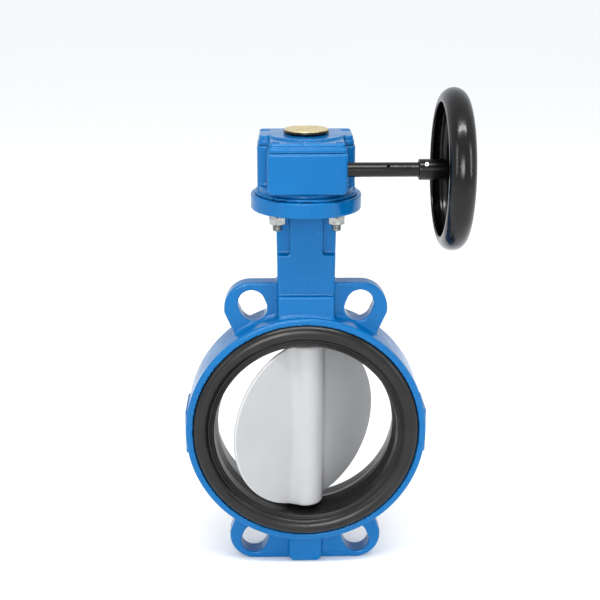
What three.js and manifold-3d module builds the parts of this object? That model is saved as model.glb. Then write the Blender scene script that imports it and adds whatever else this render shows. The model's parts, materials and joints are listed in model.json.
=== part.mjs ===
// Wafer butterfly valve, DN 150, with a worm gear operator and a handwheel.
//
// Millimetres, +Z up along the stem, +Y along the flow, handwheel on the +X side.
// The origin is the middle of the flat base under the lower stem boss.
// Pieces are laid out about the centre of the bore, and one group lifts them onto the base.

import * as THREE from 'three';
import { mergeVertices } from 'three/addons/utils/BufferGeometryUtils.js';
import Module from 'manifold-3d';

const solids = await Module();
solids.setup();

const DEGREE = Math.PI / 180;

// ---------------------------------------------------------------------------
// Driving dimensions
// ---------------------------------------------------------------------------

const clearance = 0.3;          // between pieces that rest on or sit in each other
const runningGap = 0.1;         // radial, between a shaft and its bush

// Body ring and seat
const ringRadius = 106;         // outside of the cast ring
const ringWidth = 50;           // the cast ring, along the flow
const faceToFace = 56;          // over the two rubber lips
const ringWall = 18;            // from the outside of the ring to the back of the seat
const linerThickness = 7;       // rubber between the bore and the ring
const lipMargin = 6.5;          // iron left outside each rubber lip
const lipRecess = 3;            // how deep each lip is let into the ring's face
const retainingRib = 3;         // height of the rib on the seat's back
const retainingRibWidth = 14;
const sidePadHeight = 40;       // the cast flats at the sides of the ring
const sidePadRise = 0.3;        // how far they stand out past the ring

// Disc and stem
const discEdge = 3;             // thickness at the rim
const discMiddle = 15;          // thickness beside the hub
const sealGap = 0.6;            // between the disc's rim and the crown of the seat
const crownRise = 2.6;          // how far the seat's crown stands into the bore
const openAngle = 36;           // how far the disc stands open, in degrees
const stemRadius = 9;
const stemSquare = 36.5;        // length of the stem above the top flange
const flatsFrom = 20;           // where the driving flats start, above the bore centre
const keyWidth = 6;
const keyLength = 24;

// Lugs, boss and neck
const lugRise = 27;             // the upper and lower lugs, past the outside of the ring
const lugThickness = 17;
const lugBendRadius = 23;
const lugFootAngle = 54;        // where a lug's outer edge meets the ring, from the horizontal
const lugSpread = 10;           // how far an upper lug leans out past its foot
const lowerLugSpread = 8;
const boltAngle = 22.3;         // from the vertical, in degrees
const boltCircleRise = 13.5;    // the slotted bolt holes start this far past the ring
const boltSlotLength = 4.8;
const boltHoleRadius = 11.8;
const bossWall = 8;             // from the lower stem to the outside of its boss
const bossChamfer = 4;
const neckHeight = 105.5;       // from the outside of the ring to the top flange's face
const neckHalfWidth = 24;       // at the ring
const neckTopHalfWidth = 25.5;  // at the flange
const neckHalfDepth = 16;
const neckRootHalfDepth = 20;
const neckRootRise = 18;        // the thicker root, past the outside of the ring
const neckPanelLength = 38.5;   // below the flange the corners are set back beside a middle rib
const neckRibHalfWidth = 14;
const neckPanelDepth = 4;

// Top flange and its fasteners
const flangeThickness = 13;
const studCircleRadius = 35;
const studRadius = 4;
const studEdge = 11.9;          // from the stud circle to the flange's edge
const nutHeight = 6.8;
const nutCornerRadius = 7.5;
const washerThickness = 1.6;
const studTailLength = 14.5;    // below the flange
const studReach = 14;           // length screwed into the gearbox

// Stem bearings and seals
const bushThickness = 2.2;
const sealPocketDepth = 12.5;
const bushShare = 0.32;         // length of each neck bush, as a share of the neck's height

// Gearbox
const baseGasketThickness = 0.5;
const footThickness = 2;
const pedestalHeight = 3.5;
const caseHeight = 40;          // from the foot's face to the joint with the cover
const caseSideWall = 14.3;       // outside the wheel's cavity
const caseBackWall = 11;
const caseFront = -7;           // the square box ends here and the worm block goes on
const caseCornerRadius = 7;
const wormBlockHalfWidth = 32.5;
const wormBlockWall = 13;       // in front of the worm's axis
const wormBlockRound = 5;       // the block's lower corners
const cavityDepth = 30;         // of the wheel's cavity, below the joint
const coverThickness = 8;
const coverStep = 4;            // height of the cover's full-width edge
const coverInset = 1;
const coverBossRadius = 32.5;
const coverBossHeight = 1.5;
const coverWall = 4;
const coverScrewRadius = 2;
const coverScrewHead = 3.5;
const coverScrewDepth = 5;      // below the joint
const capRadius = 19.3;         // the position indicator
const capRise = 4.2;            // its top, above the cover

// Worm gear
const moduleSize = 1.5;
const wheelTeeth = 30;
const wormRise = 25.1;          // the worm's axis, above the top flange
const pressureAngle = 20;
const toothRelief = 0.5;        // play between the flanks, along the worm
const wheelFace = 12;
const threadHalfLength = 13;
const quadrantMargin = 14;      // teeth beyond the 90 degree travel, in degrees
const stopRadius = 3;

// Input shaft and handwheel
const inputShaftRadius = 6;
const crossHoleAt = 66;
const crossHoleRadius = 1.4;
const pinRadius = 1.8;
const pinLean = 40;             // the pin leans up from the horizontal, in degrees
const hubWall = 2.6;            // of the handwheel's hub
const hubLength = 27;           // from the hub's end to the web
const rimLeft = 108;            // plane of the rim's free edge
const rimWidth = 21.5;
const rimEdgeRadius = 56;
const rimReach = 10.5;          // from the free edge's radius to the outside of the rim
const sheet = 2.4;              // pressed steel of the handwheel
const windowCount = 5;
const spokeHalfWidth = 6;

// ---------------------------------------------------------------------------
// Sizes worked out from them
// ---------------------------------------------------------------------------

const linerOuter = ringRadius - ringWall;
const boreRadius = linerOuter - linerThickness;
const lipRadius = ringRadius - lipMargin;
const sidePadReach = ringRadius + sidePadRise;
const crownRadius = boreRadius - crownRise;
const discRadius = crownRadius - sealGap;
const hubRadius = stemRadius + 7;
const lowerStemRadius = stemRadius - 2;
const stemFlat = stemRadius - 2;            // half the width over the two driving flats
const flatsTo = discRadius - 7.8;

const baseDrop = ringRadius + lugRise;      // from the bore centre down to the base
const lugTop = baseDrop + 0.5;
const lugFoot = [Math.cos, Math.sin].map((part) => (ringRadius - 2.2) * part(lugFootAngle * DEGREE));
const boltCircleMin = ringRadius + boltCircleRise;
const boltCircleMax = boltCircleMin + boltSlotLength;
const boltAt = (radius) => [radius * Math.sin(boltAngle * DEGREE), radius * Math.cos(boltAngle * DEGREE)];
const bossHalfWidth = lowerStemRadius + bossWall;
const flangeTop = ringRadius + neckHeight;
const flangeBottom = flangeTop - flangeThickness;
const flangeRadius = studCircleRadius + studEdge;
const neckRootTop = ringRadius + neckRootRise;
const neckPanelBottom = flangeBottom - neckPanelLength;
const studTail = flangeBottom - studTailLength;
const stemTop = flangeTop + stemSquare;
const stemBottom = 11 - baseDrop;
const bushLength = bushShare * neckHeight;
const bushOuter = stemRadius + runningGap + bushThickness;
const neckBore = bushOuter + clearance;
const sealPocketRadius = stemRadius + 6;

const wormPitchRadius = inputShaftRadius + 2.5;
const wheelPitchRadius = moduleSize * wheelTeeth / 2;
const wheelTip = wheelPitchRadius + moduleSize;
const wheelRoot = wheelPitchRadius - 1.25 * moduleSize;
const wheelHubRadius = stemRadius + 5.5;
const threadLead = Math.PI * moduleSize;
const threadTip = wormPitchRadius + moduleSize;
const threadRoot = wormPitchRadius - 1.25 * moduleSize;
const threadEnd = threadHalfLength + 2.4;   // where the worm's shoulder stops
const wormOffset = -(wheelPitchRadius + wormPitchRadius);
const wormHeight = flangeTop + wormRise;    // the worm's axis above the bore centre
const alongWorm = { axis: 'x', at: [0, wormOffset, wormHeight] };
const wormBearingBore = inputShaftRadius + 3.5;
const wormTunnelRadius = threadTip + 1;
const wormTunnelHalf = threadEnd + 2.6;
const bearingStart = wormTunnelHalf + clearance;
const bearingEnd = wormBlockHalfWidth - 5;
const sealEnd = wormBlockHalfWidth - 0.6;

const caseBottom = flangeTop + baseGasketThickness;
const footTop = caseBottom + footThickness;
const footRadius = flangeRadius - 3.4;
const pedestalTop = footTop + pedestalHeight;
const pedestalRadius = studCircleRadius + 5;
const cavityRadius = wheelTip + 3;
const caseHalfWidth = cavityRadius + caseSideWall;
const caseBack = cavityRadius + caseBackWall;
const wormBlockFront = wormOffset - wormBlockWall;
const jointLine = caseBottom + caseHeight;  // where the cover meets the housing
const cavityFloor = jointLine - cavityDepth;
const coverTop = jointLine + coverThickness;
const coverHoleRadius = wheelHubRadius - 2.2;
const coverScrewTip = jointLine - coverScrewDepth;
const coverScrewPlaces = [
  [wormBlockHalfWidth - 5.6, wormBlockFront + 7], [5.6 - wormBlockHalfWidth, wormBlockFront + 7],
  [caseHalfWidth - 7, caseBack - 12], [7 - caseHalfWidth, caseBack - 12],
];
const capBottom = coverTop + coverBossHeight + 0.7;
const capTop = coverTop + capRise;
const keySeat = stemRadius - 3.5;           // the key's inner face, from the stem's axis
const keyTop = stemRadius + 2.5;            // the key's outer face, from the stem's axis
const keyTo = stemTop - 2;
const keyFrom = keyTo - keyLength;
const stopOffset = wheelHubRadius + stopRadius + 1.2;   // the stop screws, each side of the stem

const rimOuterRadius = rimEdgeRadius + rimReach;
const webAtHub = rimLeft + 10;              // the web's near face, at the hub
const wheelHubOuter = inputShaftRadius + hubWall;
const wheelHubStart = webAtHub - hubLength;
const shaftEnd = webAtHub - 3;
const pinAt = wheelHubStart + 6;
const windowInner = inputShaftRadius + 13;
const windowOuter = rimEdgeRadius - 9;

// ---------------------------------------------------------------------------
// Materials
// ---------------------------------------------------------------------------

const finish = (color, roughness, metalness) => () => (
  new THREE.MeshStandardMaterial({ color, roughness, metalness })
);
const bluePaint = finish(0x0b7ccb, 0.35, 0.0);
const rubber = finish(0x2b2927, 0.6, 0.0);
const discCoating = finish(0xcbcccd, 0.5, 0.1);
const stainless = finish(0xb4b6b8, 0.3, 1.0);
const zinc = finish(0xb9bbb8, 0.35, 1.0);
const blackPaint = finish(0x141315, 0.25, 0.2);
const brass = finish(0xe6cf8e, 0.3, 1.0);
const bronze = finish(0xa9793f, 0.4, 1.0);
const castSteel = finish(0x6d6f72, 0.5, 0.9);
const plastic = finish(0xe8e6df, 0.5, 0.0);
const gasketSheet = finish(0x3a3c3e, 0.8, 0.0);

// ---------------------------------------------------------------------------
// Solids
// ---------------------------------------------------------------------------

const mergeTolerance = 1e-5;

// Flat sides of the round pieces, by size.
const sidesOf = { ring: 48, wheel: 36, journal: 32, bar: 24, bolt: 12 };

// A closed three.js geometry as a solid, with its faces turned outwards.
function solidOf(geometry) {
  const bare = geometry.clone();
  bare.deleteAttribute('normal');
  bare.deleteAttribute('uv');
  const merged = mergeVertices(bare, mergeTolerance);
  const points = merged.attributes.position.array;
  const corners = merged.index.array;
  const triangles = [];
  let volume = 0;
  for (let i = 0; i < corners.length; i += 3) {
    const [a, b, c] = corners.slice(i, i + 3);
    if (a === b || b === c || c === a) continue;
    triangles.push(a, b, c);
    const [p, q, r] = [a, b, c].map((k) => new THREE.Vector3().fromArray(points, 3 * k));
    volume += p.dot(q.cross(r));
  }
  if (volume < 0) {
    for (let i = 0; i < triangles.length; i += 3) {
      [triangles[i], triangles[i + 1]] = [triangles[i + 1], triangles[i]];
    }
  }
  return new solids.Manifold(new solids.Mesh({
    numProp: 3, vertProperties: points, triVerts: new Uint32Array(triangles),
  }));
}

function geometryOf(solid) {
  const mesh = solid.getMesh();
  const geometry = new THREE.BufferGeometry();
  geometry.setAttribute('position', new THREE.BufferAttribute(new Float32Array(mesh.vertProperties), 3));
  geometry.setIndex(new THREE.BufferAttribute(new Uint32Array(mesh.triVerts), 1));
  geometry.computeVertexNormals();
  return geometry;
}

const join = (first, ...others) => others.reduce((whole, piece) => whole.add(piece), first);
const cut = (first, ...tools) => tools.reduce((whole, tool) => whole.subtract(tool), first);

// Local X, Y, Z of a shape or a turned outline, as world directions.
const UNIT = { x: new THREE.Vector3(1, 0, 0), y: new THREE.Vector3(0, 1, 0), z: new THREE.Vector3(0, 0, 1) };
const shapeFrame = {
  x: new THREE.Matrix4().makeBasis(UNIT.y, UNIT.z, UNIT.x),
  y: new THREE.Matrix4().makeBasis(UNIT.x, UNIT.z, UNIT.y.clone().negate()),
  z: new THREE.Matrix4(),
};
const latheFrame = {
  x: new THREE.Matrix4().makeBasis(UNIT.z, UNIT.x, UNIT.y),
  y: new THREE.Matrix4(),
  z: new THREE.Matrix4().makeBasis(UNIT.y, UNIT.z, UNIT.x),
};

// An outline of [radius, along] spun about an axis. It closes on itself unless it starts on the axis.
// It can lean about the X axis through its place.
function turned(outline, { axis = 'z', at = [0, 0, 0], lean = 0, sides = sidesOf.bar } = {}) {
  const closed = outline[0][0] > 0 ? [...outline, outline[0]] : outline;
  const points = closed.map(([radius, along]) => new THREE.Vector2(radius, along));
  const geometry = new THREE.LatheGeometry(points, sides);
  geometry.applyMatrix4(latheFrame[axis]);
  geometry.rotateX(lean);
  geometry.translate(...at);
  return solidOf(geometry);
}

// A round bar, with a small chamfer at each end if it is given.
function rod(radius, from, to, { chamfer = 0, ...options } = {}) {
  const outline = chamfer > 0
    ? [[0, from], [radius - chamfer, from], [radius, from + chamfer],
      [radius, to - chamfer], [radius - chamfer, to], [0, to]]
    : [[0, from], [radius, from], [radius, to], [0, to]];
  return turned(outline, options);
}

const tube = (inner, outer, from, to, options) => (
  turned([[inner, from], [outer, from], [outer, to], [inner, to]], options)
);

// A flat outline thickened along an axis, from one level to another.
function plate(shape, from, to, axis = 'z', curveSegments = 8) {
  const geometry = new THREE.ExtrudeGeometry(shape, { depth: to - from, bevelEnabled: false, curveSegments });
  geometry.applyMatrix4(shapeFrame[axis]);
  const start = axis === 'y' ? to : from;
  geometry.translate(...UNIT[axis].clone().multiplyScalar(start).toArray());
  return solidOf(geometry);
}

function block(x, y, z) {
  const geometry = new THREE.BoxGeometry(x[1] - x[0], y[1] - y[0], z[1] - z[0]);
  geometry.translate((x[0] + x[1]) / 2, (y[0] + y[1]) / 2, (z[0] + z[1]) / 2);
  return solidOf(geometry);
}

const shapeOf = (points) => new THREE.Shape(points.map(([x, y]) => new THREE.Vector2(x, y)));

// A polygon whose corners are rounded by the radius given with each one.
function roundedShape(corners, segments = 3) {
  const points = [];
  corners.forEach(([x, y, radius], i) => {
    const corner = new THREE.Vector2(x, y);
    const neighbour = (k) => {
      const [nx, ny] = corners[(i + k + corners.length) % corners.length];
      return new THREE.Vector2(nx, ny).sub(corner).normalize();
    };
    if (!radius) {
      points.push([x, y]);
      return;
    }
    const [before, after] = [neighbour(-1), neighbour(1)];
    const half = before.angleTo(after) / 2;
    const centre = before.clone().add(after).setLength(radius / Math.sin(half)).add(corner);
    const start = corner.clone().addScaledVector(before, radius / Math.tan(half)).sub(centre);
    const sweep = Math.sign(before.cross(after)) * -(Math.PI - 2 * half);
    for (let k = 0; k <= segments; k += 1) {
      const point = start.clone().rotateAround(new THREE.Vector2(), (sweep * k) / segments).add(centre);
      points.push(point.toArray());
    }
  });
  return shapeOf(points);
}

const fourTimes = (make) => [[1, 1], [-1, 1], [-1, -1], [1, -1]].map(([sx, sy]) => make(sx, sy));

// ---------------------------------------------------------------------------
// The object
// ---------------------------------------------------------------------------

const valve = new THREE.Group();
const aboutBore = new THREE.Group();
aboutBore.position.z = baseDrop;
valve.add(aboutBore);

// The pieces that turn with the stem are drawn with the disc closed, then turned open.
const aboutStem = new THREE.Group();
aboutStem.rotation.z = openAngle * DEGREE;
aboutBore.add(aboutStem);

function addPiece(name, solid, material, group = aboutBore) {
  const mesh = new THREE.Mesh(geometryOf(solid), material());
  mesh.name = name;
  group.add(mesh);
}

// --- Valve body ------------------------------------------------------------

function bodyRing() {
  const face = ringWidth / 2;
  const recess = face - lipRecess;
  const groove = retainingRibWidth / 2 + clearance;
  const edge = 1.5;
  const outline = [
    [lipRadius + clearance, face], [ringRadius - edge, face], [ringRadius, face - edge],
    [ringRadius, edge - face], [ringRadius - edge, -face], [lipRadius + clearance, -face],
    [lipRadius + clearance, -recess], [linerOuter, -recess],
    [linerOuter, -groove], [linerOuter + retainingRib, -groove],
    [linerOuter + retainingRib, groove], [linerOuter, groove],
    [linerOuter, recess], [lipRadius + clearance, recess],
  ];
  return turned(outline, { axis: 'y', sides: sidesOf.ring });
}

// The two lugs on one side of the ring, above or below, as one flat web that spans the stem axis.
function lugWeb(side, top, spread) {
  const reach = lugFoot[0] + spread;
  const bendHeight = top - lugBendRadius;
  const half = [[...lugFoot], [reach, bendHeight - 4]];
  for (let k = 0; k <= 6; k += 1) {
    const angle = (k / 6) * 90 * DEGREE;
    half.push([
      reach - lugBendRadius + lugBendRadius * Math.cos(angle),
      bendHeight + lugBendRadius * Math.sin(angle),
    ]);
  }
  const mirrored = [...half].reverse().map(([x, z]) => [-x, z]);
  const web = shapeOf([...half, ...mirrored].map(([x, z]) => [x, side * z]));
  return plate(web, -lugThickness / 2, lugThickness / 2, 'y');
}

// A bolt slot: two circles and the straight run between them, along the bolt's radius.
function boltSlot(sx, sz) {
  const [nearX, nearZ] = boltAt(boltCircleMin);
  const [farX, farZ] = boltAt(boltCircleMax);
  const slot = new THREE.Shape();
  const across = Math.atan2(farZ - nearZ, farX - nearX);
  slot.absarc(farX, farZ, boltHoleRadius, across - Math.PI / 2, across + Math.PI / 2, false);
  slot.absarc(nearX, nearZ, boltHoleRadius, across + Math.PI / 2, across + Math.PI * 1.5, false);
  const points = slot.getPoints(6).slice(0, -1).map((point) => [sx * point.x, sz * point.y]);
  return plate(shapeOf(points), -lugThickness, lugThickness, 'y');
}

function neck() {
  const column = shapeOf([
    [-neckHalfWidth, boreRadius + 10], [neckHalfWidth, boreRadius + 10],
    [neckTopHalfWidth, flangeBottom + 1], [-neckTopHalfWidth, flangeBottom + 1],
  ]);
  const root = block(
    [-neckHalfWidth, neckHalfWidth],
    [-neckRootHalfDepth, neckRootHalfDepth],
    [boreRadius + 10, neckRootTop],
  );
  const corners = fourTimes((sx, sy) => {
    const xs = [sx * neckRibHalfWidth, sx * (neckTopHalfWidth + 5)].sort((a, b) => a - b);
    const ys = [sy * (neckHalfDepth - neckPanelDepth), sy * (neckHalfDepth + 5)].sort((a, b) => a - b);
    return block(xs, ys, [neckPanelBottom, flangeBottom]);
  });
  return join(cut(plate(column, -neckHalfDepth, neckHalfDepth, 'y'), ...corners), root);
}

function lowerBoss() {
  const outline = shapeOf([
    [-bossHalfWidth, -boreRadius - 10], [bossHalfWidth, -boreRadius - 10],
    [bossHalfWidth, bossChamfer - baseDrop], [bossHalfWidth - bossChamfer, -baseDrop],
    [bossChamfer - bossHalfWidth, -baseDrop], [-bossHalfWidth, bossChamfer - baseDrop],
  ]);
  return plate(outline, -bossHalfWidth, bossHalfWidth, 'y');
}

function sidePads() {
  const inner = ringRadius - 6;
  return [1, -1].map((side) => block(
    [Math.min(side * inner, side * sidePadReach), Math.max(side * inner, side * sidePadReach)],
    [4 - ringWidth / 2, ringWidth / 2 - 4],
    [-sidePadHeight / 2, sidePadHeight / 2],
  ));
}

function valveBody() {
  const flange = rod(flangeRadius, flangeBottom, flangeTop, { chamfer: 1, sides: sidesOf.wheel });
  const castings = join(
    bodyRing(), lugWeb(1, lugTop, lugSpread), lugWeb(-1, baseDrop, lowerLugSpread), neck(), lowerBoss(),
    flange, ...sidePads(),
  );
  const bore = rod(linerOuter, -ringWidth, ringWidth, { axis: 'y', sides: sidesOf.ring });
  const ribGroove = rod(
    linerOuter + retainingRib, -retainingRibWidth / 2 - clearance, retainingRibWidth / 2 + clearance,
    { axis: 'y', sides: sidesOf.ring },
  );
  const stemBore = rod(neckBore, 0, flangeTop + 5);
  const sealPocket = rod(sealPocketRadius, flangeTop - sealPocketDepth, flangeTop + 5);
  const lowerBore = rod(lowerStemRadius + runningGap + bushThickness + clearance, stemBottom - 2, 0);
  const lipRecesses = [1, -1].map((side) => {
    const depths = [side * (ringWidth / 2 - lipRecess), side * ringWidth].sort((a, b) => a - b);
    return rod(lipRadius + clearance, ...depths, { axis: 'y', sides: sidesOf.ring });
  });
  const boltHoles = fourTimes((sx, sz) => boltSlot(sx, sz));
  const studHoles = fourTimes((sx, sy) => rod(
    studRadius + clearance, flangeBottom - 5, flangeTop + 5, { at: studPlace(sx, sy), sides: sidesOf.bolt },
  ));
  return cut(
    castings, bore, ribGroove, stemBore, sealPocket, lowerBore, ...lipRecesses, ...boltHoles, ...studHoles,
  );
}

// The four studs stand on a circle, a quarter turn apart, between the X and Y axes.
function studPlace(sx, sy) {
  const offset = studCircleRadius * Math.SQRT1_2;
  return [sx * offset, sy * offset, 0];
}

// --- Seat ------------------------------------------------------------------

function seatLiner() {
  const back = linerOuter - clearance;
  const lipBack = ringWidth / 2 - lipRecess + clearance;
  const face = faceToFace / 2;
  const rib = retainingRibWidth / 2;
  const half = [
    [crownRadius, 4], [boreRadius, 13], [boreRadius, face - 3],
    [boreRadius + 5.5, face - 2.5],
    [boreRadius + 8, face], [lipRadius - 4.5, face],
    [lipRadius, face - 3], [lipRadius, lipBack], [back, lipBack],
    [back, rib], [back + retainingRib, rib],
  ];
  const mirrored = [...half].reverse().map(([radius, along]) => [radius, -along]);
  const liner = turned([...half, ...mirrored], { axis: 'y', sides: sidesOf.ring });
  const upperHole = rod(stemRadius + clearance, 0, ringRadius);
  const lowerHole = rod(lowerStemRadius + clearance, -ringRadius, 0);
  return cut(liner, upperHole, lowerHole);
}

// --- Disc and stem ---------------------------------------------------------

// The stem's section as a solid, grown by a gap: round, with two flats inside the disc.
function stemShape(gap, top, bottom) {
  const upper = rod(stemRadius + gap, flatsFrom - gap, top);
  const lower = rod(lowerStemRadius + gap, bottom, flatsFrom);
  const sides = [1, -1].map((side) => {
    const xs = [side * (stemFlat + gap), side * 2 * stemRadius].sort((a, b) => a - b);
    return block(xs, [-2 * stemRadius, 2 * stemRadius], [flatsFrom - 1 - gap, flatsTo - gap]);
  });
  return join(cut(upper, ...sides), lower);
}

function disc() {
  const rim = discEdge / 2;
  const middle = discMiddle / 2;
  const outline = [
    [0, -middle], [hubRadius, -middle], [discRadius * 0.6, -0.62 * middle], [discRadius - 5, -rim - 1.2],
    [discRadius - 1, -rim], [discRadius, 0.5 - rim], [discRadius, rim - 0.5], [discRadius - 1, rim],
    [discRadius - 5, rim + 1.2], [discRadius * 0.6, 0.62 * middle], [hubRadius, middle], [0, middle],
  ];
  const wing = turned(outline, { axis: 'y', sides: sidesOf.ring });
  const hub = rod(hubRadius, 1 - discRadius, discRadius - 1, { chamfer: 4, sides: sidesOf.bar });
  return cut(join(wing, hub), stemShape(clearance, ringRadius, -ringRadius));
}

function stem() {
  const body = stemShape(0, stemTop, stemBottom);
  const keySlot = block(
    [-keyWidth / 2 - clearance, keyWidth / 2 + clearance],
    [keySeat - clearance, 2 * stemRadius],
    [keyFrom - clearance, keyTo + clearance],
  );
  return cut(body, keySlot);
}

function stemKey() {
  return block([-keyWidth / 2, keyWidth / 2], [keySeat, keyTop], [keyFrom, keyTo]);
}

// --- Stem bearings and seals -----------------------------------------------

const stemRing = (outer, from, to) => tube(stemRadius + runningGap, outer, from, to);

function oRing(height, bore, thickness) {
  const outline = [];
  for (let k = 0; k < 6; k += 1) {
    const angle = (k / 6) * 2 * Math.PI;
    outline.push([bore + thickness * (1 + Math.cos(angle)), height + thickness * Math.sin(angle)]);
  }
  return turned(outline, { sides: sidesOf.bar });
}

function retainingRing() {
  const middle = flangeTop - 2.2;
  const ring = tube(sealPocketRadius - 3.4, sealPocketRadius - clearance, middle - 0.6, middle + 0.6);
  const gap = block([-4, 4], [0, sealPocketRadius], [middle - 2, middle + 2]);
  return cut(ring, gap);
}

function addStemFittings() {
  const ringInside = linerOuter + retainingRib + 1;
  const pocketFloor = flangeTop - sealPocketDepth;
  addPiece('middle_bush', stemRing(bushOuter, ringInside, ringInside + bushLength), plastic);
  addPiece('upper_bush', stemRing(bushOuter, pocketFloor - bushLength - 12, pocketFloor - 12), plastic);
  [1, 2].forEach((place) => {
    const height = ringInside + bushLength + 6 * place;
    addPiece(`stem_oring_${place}`, oRing(height, stemRadius + runningGap, bushThickness / 2), rubber);
  });
  const lowerBushBore = lowerStemRadius + runningGap;
  addPiece(
    'lower_bush',
    tube(lowerBushBore, lowerBushBore + bushThickness, stemBottom, 1 - ringInside), plastic,
  );
  const packing = sealPocketRadius - clearance;
  addPiece('stem_packing', stemRing(packing, pocketFloor + clearance, pocketFloor + 6), rubber);
  addPiece('packing_washer', stemRing(packing, pocketFloor + 6 + clearance, pocketFloor + 8.5), zinc);
  addPiece('retaining_ring', retainingRing(), zinc);
}

// --- Gearbox ---------------------------------------------------------------

// Plan outline of the case: a square box behind a narrower block that holds the worm.
function casePlan(inset) {
  const side = caseHalfWidth - inset;
  const blockSide = wormBlockHalfWidth - inset;
  const back = caseBack - inset;
  const front = wormBlockFront + inset;
  const round = caseCornerRadius - inset;
  return roundedShape([
    [blockSide, front, 4], [blockSide, caseFront + inset, 1], [side, caseFront + inset, round],
    [side, back, round], [-side, back, round], [-side, caseFront + inset, round],
    [-blockSide, caseFront + inset, 1], [-blockSide, front, 4],
  ]);
}

// What is taken off the worm block below, so that its two lower edges are round.
function blockUnderside() {
  const [side, below, centre] = [wormBlockHalfWidth + 1, pedestalTop - 1, pedestalTop + wormBlockRound];
  const half = [[side, below], [side, centre]];
  const steps = 4;
  for (let k = 0; k <= steps; k += 1) {
    const angle = (k / steps) * 90 * DEGREE;
    half.push([
      wormBlockHalfWidth - wormBlockRound + wormBlockRound * Math.cos(angle),
      centre - wormBlockRound * Math.sin(angle),
    ]);
  }
  const mirrored = [...half].reverse().map(([x, z]) => [-x, z]);
  return plate(shapeOf([...half, ...mirrored]), wormBlockFront - 1, caseFront - caseCornerRadius, 'y');
}

function gearboxHousing() {
  const footDisk = rod(footRadius, caseBottom, footTop, { chamfer: 0.6, sides: sidesOf.wheel });
  const foot = footDisk.intersect(block(
    [-caseHalfWidth, caseHalfWidth], [-footRadius - 1, footRadius + 1], [caseBottom - 1, footTop + 1],
  ));
  // Behind the worm block the case stands straight on the foot.
  const underCase = rod(footRadius, footTop - 1, pedestalTop + 1, { sides: sidesOf.wheel });
  const behindBlock = block(
    [-caseHalfWidth, caseHalfWidth], [caseFront, footRadius], [footTop - 1, pedestalTop + 1],
  );
  const skirt = underCase.intersect(behindBlock);
  const pedestal = rod(pedestalRadius, footTop - 1, pedestalTop + 1, { sides: sidesOf.wheel });
  const walls = plate(casePlan(0), pedestalTop, jointLine - clearance);
  const cavity = rod(cavityRadius, cavityFloor, jointLine + 5, { sides: sidesOf.wheel });
  const hubBore = rod(
    wheelHubRadius + runningGap, caseBottom - 5, cavityFloor + 1, { sides: sidesOf.journal },
  );
  const tunnel = rod(wormTunnelRadius, -wormTunnelHalf, wormTunnelHalf, alongWorm);
  const bearingBore = rod(wormBearingBore, -caseHalfWidth - 5, caseHalfWidth + 5, alongWorm);
  const studHoleTop = flangeTop + studReach + 1;
  const studHoles = fourTimes((sx, sy) => rod(
    studRadius + clearance, caseBottom - 5, studHoleTop, { at: studPlace(sx, sy), sides: sidesOf.bolt },
  ));
  const screwHoles = coverScrewPlaces.map(([x, y]) => rod(
    coverScrewRadius + clearance, coverScrewTip - 0.5, jointLine + 5, { at: [x, y, 0], sides: sidesOf.bolt },
  ));
  const stopHoles = [1, -1].map((side) => rod(
    stopRadius + clearance, 0, caseBack + 5,
    { axis: 'y', at: [side * stopOffset, 0, wormHeight], sides: sidesOf.bolt },
  ));
  return cut(
    join(foot, pedestal, skirt, walls), blockUnderside(), cavity, hubBore, tunnel, bearingBore,
    ...studHoles, ...screwHoles, ...stopHoles,
  );
}

function coverGasket() {
  const sheetTop = jointLine + clearance / 2;
  const outline = plate(casePlan(coverInset), jointLine - clearance / 2, sheetTop);
  const inside = rod(cavityRadius + 1, jointLine - 5, jointLine + 5, { sides: sidesOf.wheel });
  const screwHoles = coverScrewPlaces.map(([x, y]) => rod(
    coverScrewRadius + clearance, jointLine - 5, jointLine + 5, { at: [x, y, 0], sides: sidesOf.bolt },
  ));
  return cut(outline, inside, ...screwHoles);
}

function gearboxCover() {
  const coverBottom = jointLine + clearance;
  const edge = plate(casePlan(0), coverBottom, coverBottom + coverStep);
  const top = plate(casePlan(coverInset), coverBottom + coverStep - 1, coverTop);
  const boss = rod(coverBossRadius, coverTop - 1, coverTop + coverBossHeight, { sides: sidesOf.wheel });
  const hollowTop = coverTop + coverBossHeight - coverWall;
  const hollow = rod(cavityRadius, coverBottom - 5, hollowTop, { sides: sidesOf.wheel });
  const hole = rod(coverHoleRadius, coverBottom - 5, coverTop + 10);
  const screwHoles = coverScrewPlaces.map(([x, y]) => join(
    rod(coverScrewRadius + clearance, coverBottom - 5, coverTop + 5, { at: [x, y, 0], sides: sidesOf.bolt }),
    rod(coverScrewHead + 0.5, coverTop - 5, coverTop + 5, { at: [x, y, 0], sides: sidesOf.bolt }),
  ));
  return cut(join(edge, top, boss), hollow, hole, ...screwHoles);
}

// A socket head screw, head up, its tip at the bottom of its hole.
function coverScrew([x, y]) {
  const headBottom = coverTop - 5 + clearance;
  const headTop = coverTop - 0.4;
  const screw = turned([
    [0, coverScrewTip], [coverScrewRadius, coverScrewTip], [coverScrewRadius, headBottom],
    [coverScrewHead, headBottom], [coverScrewHead, headTop - 0.5],
    [coverScrewHead - 0.5, headTop], [0, headTop],
  ], { at: [x, y, 0], sides: sidesOf.bolt });
  const socket = rod(coverScrewHead / 2, headTop - 2.4, headTop + 1, { at: [x, y, 0], sides: 6 });
  return cut(screw, socket);
}

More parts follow.
